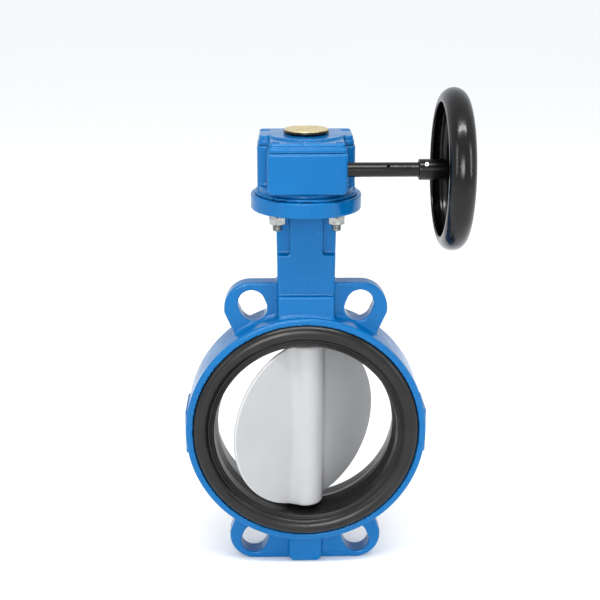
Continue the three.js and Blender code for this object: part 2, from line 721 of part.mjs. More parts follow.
function addGearboxCase() {
  const gasket = tube(
    wheelHubRadius + 2, footRadius - 1, flangeTop + 0.1, caseBottom - 0.1, { sides: sidesOf.wheel },
  );
  const studHoles = fourTimes((sx, sy) => rod(
    studRadius + clearance, flangeTop - 5, caseBottom + 5, { at: studPlace(sx, sy), sides: sidesOf.bolt },
  ));
  addPiece('base_gasket', cut(gasket, ...studHoles), gasketSheet);
  addPiece('gearbox_housing', gearboxHousing(), bluePaint);
  addPiece('cover_gasket', coverGasket(), gasketSheet);
  addPiece('gearbox_cover', gearboxCover(), bluePaint);
  coverScrewPlaces.forEach((place, k) => addPiece(`cover_screw_${k + 1}`, coverScrew(place), bluePaint));
}

// --- Flange studs ----------------------------------------------------------

function addFlangeStuds() {
  const washerTop = flangeBottom - 0.1;
  const nutTop = washerTop - washerThickness - 0.1;
  [[-1, -1], [1, -1], [1, 1], [-1, 1]].forEach(([sx, sy], k) => {
    const at = studPlace(sx, sy);
    const place = k + 1;
    const bore = studRadius + 0.15;
    const washer = tube(
      bore, studRadius + 3.4, washerTop - washerThickness, washerTop, { at, sides: sidesOf.bolt },
    );
    const nut = cut(
      rod(nutCornerRadius, nutTop - nutHeight, nutTop, { at, sides: 6 }),
      rod(bore, nutTop - nutHeight - 1, nutTop + 1, { at, sides: sidesOf.bolt }),
    );
    const stud = rod(studRadius, studTail, flangeTop + studReach, { at, chamfer: 0.8, sides: sidesOf.bolt });
    addPiece(`flange_stud_${place}`, stud, zinc);
    addPiece(`flange_washer_${place}`, washer, zinc);
    addPiece(`flange_nut_${place}`, nut, zinc);
  });
}

// --- Worm wheel ------------------------------------------------------------

// Half the angle of a wheel tooth at a radius, on an involute flank.
function toothHalfAngle(radius) {
  const involute = (angle) => Math.tan(angle) - angle;
  const baseRadius = wheelPitchRadius * Math.cos(pressureAngle * DEGREE);
  const atRadius = Math.acos(Math.min(1, baseRadius / radius));
  const play = toothRelief / 2 / wheelPitchRadius / 2;
  return Math.PI / (2 * wheelTeeth) - play + involute(pressureAngle * DEGREE) - involute(atRadius);
}

// A toothed quadrant on a hub. With the disc closed, its middle points 45 degrees past the worm.
function wormWheel() {
  const halfSpan = (45 + quadrantMargin) * DEGREE;
  const middle = (-90 - 45) * DEGREE;
  const toothStep = (2 * Math.PI) / wheelTeeth;
  // A gap faces the worm at rest, when the stem group is turned by the open angle.
  const gapAtWorm = (-90 - openAngle) * DEGREE;
  const polar = (radius, angle) => [radius * Math.cos(angle), radius * Math.sin(angle)];
  const points = [[0, 0], polar(wheelRoot, middle - halfSpan)];
  for (let k = -wheelTeeth; k < wheelTeeth; k += 1) {
    const centre = gapAtWorm + (k + 0.5) * toothStep;
    if (Math.abs(centre - middle) > halfSpan - toothStep / 2) continue;
    const radii = [
      wheelRoot, (wheelRoot + wheelPitchRadius) / 2, wheelPitchRadius,
      (wheelPitchRadius + wheelTip) / 2, wheelTip,
    ];
    radii.forEach((radius) => points.push(polar(radius, centre - toothHalfAngle(radius))));
    radii.reverse().forEach((radius) => points.push(polar(radius, centre + toothHalfAngle(radius))));
  }
  points.push(polar(wheelRoot, middle + halfSpan));
  const geometry = new THREE.ExtrudeGeometry(
    shapeOf(points), { depth: wheelFace, bevelEnabled: false, steps: 2 },
  );
  geometry.translate(0, 0, -wheelFace / 2);
  // The teeth lean with the thread: the section turns as it rises.
  const leanPerHeight = -(threadLead / (2 * Math.PI * wormPitchRadius)) / wheelPitchRadius;
  const position = geometry.attributes.position;
  for (let i = 0; i < position.count; i += 1) {
    const point = new THREE.Vector3().fromBufferAttribute(position, i);
    point.applyAxisAngle(UNIT.z, leanPerHeight * point.z);
    position.setXYZ(i, point.x, point.y, point.z);
  }
  geometry.translate(0, 0, wormHeight);
  const hub = rod(wheelHubRadius, caseBottom + 2, jointLine - 1, { sides: sidesOf.journal });
  const bore = rod(stemRadius + clearance, caseBottom - 5, stemTop + 1);
  const keyway = block(
    [-keyWidth / 2 - clearance, keyWidth / 2 + clearance],
    [0, keyTop + clearance],
    [caseBottom - 5, keyTo + 1],
  );
  return cut(join(solidOf(geometry), hub), bore, keyway);
}

// --- Position indicator ----------------------------------------------------

function indicatorCap() {
  const spigot = coverHoleRadius - 0.3;
  return turned([
    [0, jointLine - 1 + clearance], [spigot, jointLine - 1 + clearance], [spigot, capBottom],
    [capRadius - 0.6, capBottom], [capRadius, capBottom + 0.6], [capRadius, capTop - 0.6],
    [capRadius - 0.6, capTop], [0, capTop],
  ]);
}

function indicatorPlate() {
  const radius = capRadius - 0.9;
  const bottom = capTop + 0.1;
  const disk = rod(radius, bottom, bottom + 1, { chamfer: 0.3 });
  // A shallow groove along the disc's plane shows which way the disc lies.
  const groove = block([-radius * 0.8, radius * 0.8], [-0.9, 0.9], [bottom + 0.6, bottom + 2]);
  return cut(disk, groove);
}

// --- Worm and input shaft --------------------------------------------------

// The thread is a straight ridge wound round the shaft, left-handed.
function wormThread() {
  const slope = Math.tan(pressureAngle * DEGREE);
  const atPitch = threadLead / 4 - toothRelief / 4;
  const ridge = shapeOf([
    [-(atPitch + (wormPitchRadius - threadRoot + 1) * slope), threadRoot - 1],
    [atPitch + (wormPitchRadius - threadRoot + 1) * slope, threadRoot - 1],
    [atPitch - (threadTip - wormPitchRadius) * slope, threadTip],
    [-(atPitch - (threadTip - wormPitchRadius) * slope), threadTip],
  ]);
  const turns = (2 * threadHalfLength) / threadLead;
  const wound = turns * 2 * Math.PI;
  const geometry = new THREE.ExtrudeGeometry(
    ridge, { depth: wound, steps: Math.round(turns * 14), bevelEnabled: false },
  );
  geometry.translate(0, 0, -wound / 2);
  const position = geometry.attributes.position;
  for (let i = 0; i < position.count; i += 1) {
    const [along, radius, angle] = [position.getX(i), position.getY(i), position.getZ(i)];
    position.setXYZ(
      i, along - (threadLead * angle) / (2 * Math.PI),
      wormOffset + radius * Math.cos(angle), wormHeight + radius * Math.sin(angle),
    );
  }
  return solidOf(geometry);
}

// Where a hole or a pin crosses the shaft, leaning by the pin's angle.
const acrossShaft = (x) => ({
  axis: 'y', at: [x, wormOffset, wormHeight], lean: -pinLean * DEGREE, sides: sidesOf.bolt,
});

function wormShaft() {
  const shaft = turned([
    [0, -bearingEnd], [inputShaftRadius, -bearingEnd], [inputShaftRadius, -threadEnd],
    [threadRoot, -threadEnd], [threadRoot, threadEnd], [inputShaftRadius, threadEnd],
    [inputShaftRadius, shaftEnd - 1], [inputShaftRadius - 1, shaftEnd], [0, shaftEnd],
  ], { ...alongWorm, sides: sidesOf.bar });
  const through = 2 * inputShaftRadius;
  const crossHole = rod(crossHoleRadius, -through, through, acrossShaft(crossHoleAt));
  const pinHole = rod(pinRadius + 0.2, -through, through, acrossShaft(pinAt));
  return cut(join(shaft, wormThread()), crossHole, pinHole);
}

function addWormBearings() {
  const bore = inputShaftRadius + runningGap;
  const outer = wormBearingBore - clearance;
  const washerFrom = threadEnd + 0.2;
  addPiece('worm_bush_inner', tube(bore, outer, -bearingEnd, -bearingStart, alongWorm), bronze);
  addPiece('worm_bush_outer', tube(bore, outer, bearingStart, bearingEnd, alongWorm), bronze);
  const washerOuter = wormTunnelRadius - 0.6;
  const washerTo = wormTunnelHalf - 0.1;
  addPiece('thrust_washer_inner', tube(bore, washerOuter, -washerTo, -washerFrom, alongWorm), bronze);
  addPiece('thrust_washer_outer', tube(bore, washerOuter, washerFrom, washerTo, alongWorm), bronze);
  addPiece('input_shaft_seal', tube(bore, outer, bearingEnd + clearance, sealEnd, alongWorm), rubber);
  const plug = rod(outer, -sealEnd, -bearingEnd - clearance, alongWorm);
  const socket = rod(4.5, -sealEnd - 1, 2.6 - sealEnd, { ...alongWorm, sides: 6 });
  addPiece('worm_end_plug', cut(plug, socket), zinc);
}

// --- Travel stops ----------------------------------------------------------

// At each end of the travel an edge of the quadrant comes up to a screw's tip.
function addTravelStops() {
  const edgeAngle = quadrantMargin * DEGREE;
  const touch = (stopOffset + stopRadius) * Math.tan(edgeAngle) + clearance;
  const nutFrom = caseBack + 0.3;
  [['open', 1], ['closed', -1]].forEach(([name, side]) => {
    const at = [side * stopOffset, 0, wormHeight];
    const screw = rod(stopRadius, touch, caseBack + 12, { axis: 'y', at, sides: sidesOf.bolt, chamfer: 0.6 });
    const socket = rod(1.6, caseBack + 9, caseBack + 13, { axis: 'y', at, sides: 6 });
    const nut = cut(
      rod(5.7, nutFrom, nutFrom + 5, { axis: 'y', at, sides: 6 }),
      rod(stopRadius + 0.15, nutFrom - 1, nutFrom + 6, { axis: 'y', at, sides: sidesOf.bolt }),
    );
    addPiece(`stop_screw_${name}`, cut(screw, socket), zinc);
    addPiece(`stop_locknut_${name}`, nut, zinc);
  });
}

// --- Handwheel -------------------------------------------------------------

// Quarter points of an ellipse about the rim's middle, from its free edge round to its back.
function rimArc(radial, axial, steps) {
  const middle = rimLeft + rimWidth / 2;
  const points = [];
  for (let k = 0; k <= steps; k += 1) {
    const angle = (-90 + (180 * k) / steps) * DEGREE;
    points.push([rimEdgeRadius + radial * Math.cos(angle), middle + axial * Math.sin(angle)]);
  }
  return points;
}

function handwheel() {
  const reach = rimOuterRadius - rimEdgeRadius;
  const outside = rimArc(reach, rimWidth / 2, 6);
  const inside = rimArc(reach - sheet, rimWidth / 2 - sheet, 4).reverse();
  const rimBack = rimLeft + rimWidth;
  const dishEdge = rimEdgeRadius - 6;
  const dishMiddle = inputShaftRadius + 8;
  const hubInside = inputShaftRadius + 1;
  const dish = turned([
    ...outside, [dishEdge, rimBack - 0.5], [dishMiddle, webAtHub + sheet], [hubInside, webAtHub + sheet],
    [hubInside, webAtHub], [dishMiddle, webAtHub], [dishEdge - 0.5, rimBack - sheet - 0.5], ...inside,
  ], { ...alongWorm, sides: sidesOf.wheel });
  const hub = rod(wheelHubOuter, wheelHubStart, webAtHub + 4, { ...alongWorm, sides: sidesOf.bar, chamfer: 0.8 });
  const bore = rod(inputShaftRadius + 0.2, wheelHubStart - 5, shaftEnd + 10, alongWorm);
  const through = 2 * wheelHubOuter;
  const pinHole = rod(pinRadius + 0.2, -through, through, acrossShaft(pinAt));
  const windows = [];
  for (let k = 0; k < windowCount; k += 1) {
    windows.push(spokeWindow((k * 2 * Math.PI) / windowCount));
  }
  return cut(join(dish, hub), bore, pinHole, ...windows);
}

// A window in the web between two spokes, as wide as the spokes leave it.
function spokeWindow(angle) {
  const corner = (radius, side) => {
    const half = Math.PI / windowCount - Math.asin(spokeHalfWidth / radius);
    return [radius * Math.cos(angle + side * half), radius * Math.sin(angle + side * half), 3];
  };
  const outline = roundedShape([
    corner(windowInner, -1), corner(windowOuter, -1),
    [windowOuter * 1.08 * Math.cos(angle), windowOuter * 1.08 * Math.sin(angle), 0],
    corner(windowOuter, 1), corner(windowInner, 1),
  ], 3);
  const geometry = new THREE.ExtrudeGeometry(outline, { depth: 30, bevelEnabled: false });
  geometry.applyMatrix4(shapeFrame.x);
  geometry.translate(webAtHub - 10, wormOffset, wormHeight);
  return solidOf(geometry);
}

function handwheelPin() {
  const length = wheelHubOuter + 0.2;
  return tube(pinRadius / 2, pinRadius, -length, length, acrossShaft(pinAt));
}

// --- Assembly --------------------------------------------------------------

addPiece('valve_body', valveBody(), bluePaint);
addPiece('seat_liner', seatLiner(), rubber);
addPiece('disc', disc(), discCoating, aboutStem);
addPiece('stem', stem(), stainless, aboutStem);
addPiece('stem_key', stemKey(), stainless, aboutStem);
addStemFittings();
addFlangeStuds();
addGearboxCase();
addPiece('worm_wheel', wormWheel(), castSteel, aboutStem);
addPiece('indicator_cap', indicatorCap(), blackPaint, aboutStem);
addPiece('indicator_plate', indicatorPlate(), brass, aboutStem);
addWormBearings();
addTravelStops();
addPiece('worm_shaft', wormShaft(), blackPaint);
addPiece('handwheel', handwheel(), blackPaint);
addPiece('handwheel_pin', handwheelPin(), zinc);

export default valve;
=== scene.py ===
"""A wafer butterfly valve with a worm gear operator, dressed for a studio picture.

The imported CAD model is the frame. The castings, the seat, the disc, the gearbox, the handwheel and the
fasteners are modelled again here with their fillets, threads and chamfers, and ride on the CAD bodies.
Sizes are millimetres about the centre of the bore unless a name says metres, and Z points up.
"""

import itertools
import json
import math

import bmesh
import bpy
import numpy as np
from mathutils import Euler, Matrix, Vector


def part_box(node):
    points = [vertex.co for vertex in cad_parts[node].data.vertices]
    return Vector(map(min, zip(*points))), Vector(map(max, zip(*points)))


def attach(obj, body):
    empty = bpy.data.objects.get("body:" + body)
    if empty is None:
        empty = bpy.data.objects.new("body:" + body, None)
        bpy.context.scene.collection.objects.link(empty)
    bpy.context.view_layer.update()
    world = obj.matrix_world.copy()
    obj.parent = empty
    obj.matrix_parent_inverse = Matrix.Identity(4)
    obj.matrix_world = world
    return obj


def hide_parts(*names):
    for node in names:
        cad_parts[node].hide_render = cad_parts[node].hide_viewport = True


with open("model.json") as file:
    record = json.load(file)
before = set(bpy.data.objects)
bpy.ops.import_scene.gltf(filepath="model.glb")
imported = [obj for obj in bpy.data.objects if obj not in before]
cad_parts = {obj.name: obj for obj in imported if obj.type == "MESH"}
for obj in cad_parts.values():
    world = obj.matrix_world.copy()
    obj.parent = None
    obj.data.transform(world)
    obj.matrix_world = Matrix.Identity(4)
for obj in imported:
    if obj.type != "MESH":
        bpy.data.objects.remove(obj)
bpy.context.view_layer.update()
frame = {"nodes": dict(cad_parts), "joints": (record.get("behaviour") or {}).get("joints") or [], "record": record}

MM = 0.001

# ---------------------------------------------------------------------------
# Places taken from the frame
# ---------------------------------------------------------------------------

JOINTS = {joint["name"]: joint for joint in frame["joints"]}
BORE_HEIGHT = JOINTS["stem_turn"]["pos_m"][2] / MM
OPEN_ANGLE = math.radians(-JOINTS["stem_turn"]["range_deg"][0])
WORM_Y = JOINTS["handwheel_turn"]["pos_m"][1] / MM
WORM_Z = JOINTS["handwheel_turn"]["pos_m"][2] / MM - BORE_HEIGHT


def node_box(name):
    """Lowest and highest corners of a CAD node, in millimetres about the bore centre."""
    low, high = (np.array(corner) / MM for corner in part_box(name))
    low[2] -= BORE_HEIGHT
    high[2] -= BORE_HEIGHT
    return low, high


BODY_HIGH = node_box("valve_body")[1]
HOUSING_LOW, HOUSING_HIGH = node_box("gearbox_housing")
COVER_HIGH = node_box("gearbox_cover")[1]
WHEEL_LOW, WHEEL_HIGH = node_box("handwheel")

# ---------------------------------------------------------------------------
# Sizes
# ---------------------------------------------------------------------------

# Ring, side pads and lugs
RING_RADIUS = 106.0
RING_WIDTH = 50.0
RING_BORE = 88.0
STEM_BORE_RADIUS = 11.5
LOWER_BORE_RADIUS = 9.6
LOWER_BORE_DEPTH = 124.0
PAD_REACH = BODY_HIGH[0]
PAD_HALF_HEIGHT = 20.0
LUG_TOP = 133.5
LUG_BOTTOM = BORE_HEIGHT
LUG_THICKNESS = 17.0
LUG_REACH = 71.0
LOWER_LUG_REACH = 69.0
LUG_BEND = 23.0
LUG_FOOT = (61.0, 84.0)
SLOT_ANGLE = math.radians(22.3)
SLOT_NEAR = 119.5
SLOT_FAR = 124.3
SLOT_RADIUS = 11.8

# Lower boss, neck and top flange
BOSS_HALF = 15.0
NECK_HALF = 24.0
NECK_TOP_HALF = 25.5
NECK_DEPTH = 16.0
NECK_ROOT_DEPTH = 20.0
NECK_ROOT_TOP = 124.0
PANEL_BOTTOM = 160.0
PANEL_RIB_HALF = 14.0
PANEL_DEPTH = 4.0
FLANGE_RADIUS = BODY_HIGH[1]
FLANGE_TOP = BODY_HIGH[2]
FLANGE_BOTTOM = FLANGE_TOP - 13.0
STUD_OFFSET = 35.0 * math.sqrt(0.5)
STUD_HOLE_RADIUS = 4.3

# Seat: crown, bore, groove, bead and back
LIP_RADIUS = node_box("seat_liner")[1][0]
BORE = 81.0
CROWN = 78.4
MOUTH = 24.6
GROOVE_RADII = (82.4, 83.2, 84.2, 85.2)
SEAT_BACK_RADIUS = 87.7
SEAT_RIB_RADIUS = 90.7
SEAT_RIB_HALF = 7.0
SEAT_LIP_BACK = 22.3
BEAD_MIDDLE = (92.8, 20.0)
BEAD_RADIUS = 8.0

# Disc: half thickness at the rim, what it gains by the middle, and the mean slope of its face
DISC_RADIUS = 77.8
DISC_EDGE_HALF = 1.5
DISC_DOME = 6.3
DISC_SLOPE = 4.7
HUB_RADIUS = 16.0
STEM_HOLE_RADIUS = 9.3
STEM_END_HOLE_RADIUS = 7.3

# Gear case. Each tunnel is a radius and a half length along the worm.
CASE_BOTTOM = HOUSING_LOW[2]
FOOT_RADIUS = HOUSING_HIGH[1]
FOOT_TOP = CASE_BOTTOM + 2.0
PEDESTAL_RADIUS = 40.0
PEDESTAL_TOP = FOOT_TOP + 3.5
CASE_HALF = HOUSING_HIGH[0]
CASE_BACK = COVER_HIGH[1]
CASE_FRONT = -7.0
BLOCK_HALF = 32.5
BLOCK_FRONT = HOUSING_LOW[1]
CAVITY_RADIUS = 27.0
CAVITY_FLOOR = CASE_BOTTOM + 10.0
WHEEL_SEAT_RADIUS = 14.6
WORM_TUNNEL = (11.0, 18.0)
BUSH_TUNNEL = (9.5, 50.0)
STUD_HOLE_TOP = CASE_BOTTOM + 14.5
STOP_OFFSET = 18.7
STOP_HOLE_RADIUS = 3.3
JOINT_LINE = 252.0
JOINT_GAP = 0.05
COVER_BOSS_RADIUS = 32.5
COVER_BOSS_TOP = COVER_HIGH[2]
COVER_TOP = COVER_BOSS_TOP - 1.5
COVER_HOLE_RADIUS = 12.3
POCKET_RADIUS = 4.0
POCKET_DEPTH = 5.0

# Input shaft and handwheel
SHAFT_RADIUS = 6.0
PIN_LEAN = math.radians(40.0)
PIN_PLACE = 97.0
PIN_HOLE_RADIUS = 2.0
WHEEL_HUB_RADIUS = 8.6
WHEEL_HUB_LEFT = WHEEL_LOW[0]
RIM_WIDTH = 21.5
RIM_LEFT = WHEEL_HIGH[0] - RIM_WIDTH
RIM_EDGE = 56.0
RIM_OUTER = WHEEL_HIGH[1] - WORM_Y
SHEET = 2.4
WEB_AT_HUB = 119.2
WINDOW_COUNT = 5
WINDOW_INNER = 19.0
WINDOW_OUTER = 47.5
SPOKE_HALF = 6.0
VENT_RADIUS = 2.2

# Fasteners
NUT_FLATS = 13.0
NUT_BORE = 4.15
STUD_RADIUS = 4.0
STUD_PITCH = 1.25
WASHER_RADIUS = 7.4
LOCKNUT_FLATS = 9.87
LOCKNUT_BORE = 3.15
STOP_RADIUS = 3.0
STOP_PITCH = 1.0
COVER_SCREW_RADIUS = 2.0
COVER_SCREW_HEAD = 3.5
COVER_SCREW_HEAD_HEIGHT = 4.3
GASKET_RADII = (16.5, 42.5)
HEX_CHAMFER = 0.97
SHARP_ANGLE = math.radians(32)

# ---------------------------------------------------------------------------
# Solids as distance fields: below zero inside, above zero outside
# ---------------------------------------------------------------------------


def both(a, b, radius=0.0):
    """Where both solids are, with the edge between them rounded to a circular arc."""
    u, v = a + radius, b + radius
    return np.minimum(np.maximum(u, v), 0) + np.hypot(np.maximum(u, 0), np.maximum(v, 0)) - radius


def either(a, b, radius=0.0):
    """Where either solid is, with a fillet in the corner between them."""
    return -both(-a, -b, radius)


def without(a, b, radius=0.0):
    """The first solid less the second, with the edge between them rounded."""
    return both(a, -b, radius)


def between(value, low, high):
    """The slab between two levels."""
    return np.abs(value - (low + high) / 2) - (high - low) / 2


def bar(across, across_2, along, radius, low, high, edge):
    """A round bar, its edges rounded."""
    return both(np.hypot(across, across_2) - radius, between(along, low, high), edge)


def from_segment(x, y, start, end):
    """The distance to a straight line between two points."""
    dx, dy = end[0] - start[0], end[1] - start[1]
    share = np.clip(((x - start[0]) * dx + (y - start[1]) * dy) / (dx * dx + dy * dy), 0, 1)
    return np.hypot(x - start[0] - share * dx, y - start[1] - share * dy)


def polygon(x, y, corners):
    """The distance to a polygon, below zero inside it."""
    nearest = np.full(np.shape(x), np.inf)
    inside = np.zeros(np.shape(x), bool)
    for (ax, ay), (bx, by) in zip(corners, corners[1:] + corners[:1]):
        nearest = np.minimum(nearest, from_segment(x, y, (ax, ay), (bx, by)))
        if by != ay:
            inside ^= ((ay > y) != (by > y)) & (x < ax + (y - ay) * (bx - ax) / (by - ay))
    return np.where(inside, -nearest, nearest)


def strip(x, y, points, half):
    """A strip of even thickness along a chain of points."""
    nearest = np.full(np.shape(x), np.inf)
    for start, end in zip(points, points[1:]):
        nearest = np.minimum(nearest, from_segment(x, y, start, end))
    return nearest - half


def arc(centre, radius, start, end, steps, squash=1.0):
    """Points along an arc, in degrees. squash scales it along the second axis."""
    angles = np.radians(np.linspace(start, end, steps + 1))
    return [
        (centre[0] + radius * math.cos(a), centre[1] + squash * radius * math.sin(a)) for a in angles
    ]


# ---------------------------------------------------------------------------
# Meshes from fields
# ---------------------------------------------------------------------------


def sampled(field, low, high, cell):
    """The field on a grid, one slab at a time, with the grid's origin."""
    counts = [int(math.ceil((b - a) / cell)) + 3 for a, b in zip(low, high)]
    axes = [a - cell * 1.03 + cell * np.arange(n) for a, n in zip(low, counts)]
    y, z = np.meshgrid(axes[1], axes[2], indexing="ij")
    values = np.stack([field(np.full_like(y, x), y, z) for x in axes[0]])
    return values, np.array([axis[0] for axis in axes])


def surface_net(values):
    """Quads round a sampled field's zero level: one point in each cell that it passes through."""
    inside = values < 0
    cells = tuple(n - 1 for n in values.shape)
    full = np.zeros(cells, np.int8)
    for a, b, c in itertools.product((0, 1), repeat=3):
        full += inside[a:cells[0] + a, b:cells[1] + b, c:cells[2] + c]
    mixed = (full > 0) & (full < 8)
    where = np.argwhere(mixed)
    index = np.full(cells, -1)
    index[mixed] = np.arange(len(where))
    total = np.zeros((len(where), 3))
    number = np.zeros(len(where))
    quads = []
    for axis in range(3):
        first, second = np.eye(3, dtype=int)[[(axis + 1) % 3, (axis + 2) % 3]]
        step = np.eye(3, dtype=int)[axis]
        for a, b in itertools.product((0, 1), repeat=2):
            start = where + a * first + b * second
            near = values[tuple(start.T)]
            far = values[tuple((start + step).T)]
            crossed = (near < 0) != (far < 0)
            share = near[crossed] / (near[crossed] - far[crossed])
            total[crossed] += start[crossed] + share[:, None] * step
            number[crossed] += 1
        starts = np.argwhere(np.diff(inside, axis=axis))
        starts = starts[(starts @ first > 0) & (starts @ second > 0)]
        ring = [starts - first - second, starts - second, starts, starts - first]
        faces = np.stack([index[tuple(corner.T)] for corner in ring], 1)
        outward = inside[tuple(starts.T)]
        quads.append(np.where(outward[:, None], faces, faces[:, ::-1]))
    return total / number[:, None], np.concatenate(quads)


def slope(field, points, reach):
    """The field's gradient at some points."""
    parts = []
    for axis in np.eye(3) * reach:
        parts.append(field(*(points + axis).T) - field(*(points - axis).T))
    return np.stack(parts, 1) / (2 * reach)


def settled(field, points, rounds, reach=0.05):
    """Points moved onto the field's surface."""
    for _ in range(rounds):
        gradient = slope(field, points, reach)
        size = np.maximum((gradient ** 2).sum(1), 0.25)
        points = points - gradient * (field(*points.T) / size)[:, None]
    return points


def evened(points, quads):
    """Each point halfway towards the middle of its neighbours."""
    ends = np.concatenate([quads[:, [k, (k + 1) % 4]] for k in range(4)])
    count = np.bincount(ends[:, 0], minlength=len(points))
    middle = np.stack([np.bincount(ends[:, 0], points[ends[:, 1], k], len(points)) for k in range(3)], 1)
    return (points + middle / count[:, None]) / 2


def edge_sense(field, points, reach=1.1):
    """How sharply the surface turns: above zero on outside edges, below zero in corners."""
    total = -6 * field(*points.T)
    for axis in np.eye(3) * reach:
        total += field(*(points + axis).T) + field(*(points - axis).T)
    return total / reach


def placed(points, turn=0.0):
    """Points about the bore centre in the row frame, in metres, after a turn about the stem."""
    c, s = math.cos(turn), math.sin(turn)
    moved = points @ np.array([[c, s, 0], [-s, c, 0], [0, 0, 1]])
    return (moved + [0, 0, BORE_HEIGHT]) * MM


def cast_piece(name, field, low, high, cell, turn=0.0):
    """A smooth closed mesh of a field, with its true normals and an edge attribute for its finish."""
    values, origin = sampled(field, low, high, cell)
    points, quads = surface_net(values)
    points = settled(field, points * cell + origin, 2)
    for _ in range(3):
        points = settled(field, evened(points, quads), 1)
    points = settled(field, points, 2)
    normals = slope(field, points, 0.05)
    normals /= np.linalg.norm(normals, axis=1)[:, None]
    mesh = bpy.data.meshes.new(name)
    mesh.from_pydata(placed(points, turn).tolist(), [], quads.tolist())
    mesh.shade_smooth()
    edge = mesh.attributes.new("edge", "FLOAT", "POINT")
    edge.data.foreach_set("value", edge_sense(field, points).astype(np.float32))
    turned_normals = placed(normals, turn) / MM - [0, 0, BORE_HEIGHT]
    mesh.normals_split_custom_set_from_vertices(turned_normals.tolist())
    return new_piece(name, mesh)


def new_piece(name, mesh):
    """An object of a mesh, linked into the scene."""
    piece = bpy.data.objects.new(name, mesh)
    bpy.context.scene.collection.objects.link(piece)
    return piece


# ---------------------------------------------------------------------------
# Turned pieces
# ---------------------------------------------------------------------------


def rounded(corners, steps=4):
    """An outline whose corners (x, y, radius) are rounded by their radius."""
    points = []
    for k, (x, y, radius) in enumerate(corners):
        here = Vector((x, y))
        if not radius:
            points.append((x, y))
            continue
        before = (Vector(corners[k - 1][:2]) - here).normalized()
        after = (Vector(corners[(k + 1) % len(corners)][:2]) - here).normalized()
        half = before.angle(after) / 2
        centre = here + (before + after).normalized() * radius / math.sin(half)
        start = here + before * radius / math.tan(half) - centre
        sweep = math.pi - 2 * half
        if before.cross(after) > 0:
            sweep = -sweep
        for step in range(steps + 1):
            c, s = math.cos(sweep * step / steps), math.sin(sweep * step / steps)
            points.append((centre.x + c * start.x - s * start.y, centre.y + s * start.x + c * start.y))
    return points


AXES = {"x": (1, 2, 0), "y": (2, 0, 1), "z": (0, 1, 2)}


def turned(name, outline, axis="z", at=(0.0, 0.0, 0.0), sides=96, radius_at=None, turn=0.0):
    """An outline of (radius, along) spun about an axis through a point.

    radius_at(angle, radius, along) may change the radius and the level round the piece.
    """
    outline = np.array(outline, float)
    angles = np.arange(sides) * 2 * math.pi / sides
    radius = np.repeat(outline[None, :, 0], sides, 0)
    along = np.repeat(outline[None, :, 1], sides, 0)
    if radius_at:
        radius, along = radius_at(angles[:, None], radius, along)
    local = np.stack([radius * np.cos(angles)[:, None], radius * np.sin(angles)[:, None], along], 2)
    across, across_2, lengthwise = AXES[axis]
    points = np.empty(local.shape)
    points[..., across] = local[..., 0]
    points[..., across_2] = local[..., 1]
    points[..., lengthwise] = local[..., 2]
    count = len(outline)
    start = np.arange(sides)[:, None] * count
    step = np.arange(count)[None, :]
    after, up = (start + count) % (sides * count), (step + 1) % count
    quads = np.stack([start + step, after + step, after + up, start + up], 2).reshape(-1, 4)
    mesh = bpy.data.meshes.new(name)
    mesh.from_pydata(placed(points.reshape(-1, 3) + at, turn).tolist(), [], quads.tolist())
    mesh.validate()
    tidy_round_mesh(mesh)
    return new_piece(name, mesh)


def tidy_round_mesh(mesh):
    """Joins the points on the axis, turns the faces outwards, and keeps only real edges sharp."""
    work = bmesh.new()
    work.from_mesh(mesh)
    bmesh.ops.remove_doubles(work, verts=work.verts, dist=1e-6)
    bmesh.ops.recalc_face_normals(work, faces=work.faces)
    work.to_mesh(mesh)
    work.free()
    mesh.shade_smooth()
    mesh.set_sharp_from_angle(angle=SHARP_ANGLE)


def softened(piece, width):
    """A narrow bevel on a piece's sharp edges."""
    bevel = piece.modifiers.new("edges", "BEVEL")
    bevel.width = width * MM
    bevel.segments = 2
    bevel.limit_method = "ANGLE"
    bevel.angle_limit = SHARP_ANGLE
    bevel.harden_normals = True
    return piece


# ---------------------------------------------------------------------------
# Materials
# ---------------------------------------------------------------------------


def rgb(red, green, blue):
    """A display colour, 0 to 255, as linear light."""
    def linear(value):
        share = value / 255
        return share / 12.92 if share <= 0.04045 else ((share + 0.055) / 1.055) ** 2.4
    return (linear(red), linear(green), linear(blue), 1.0)


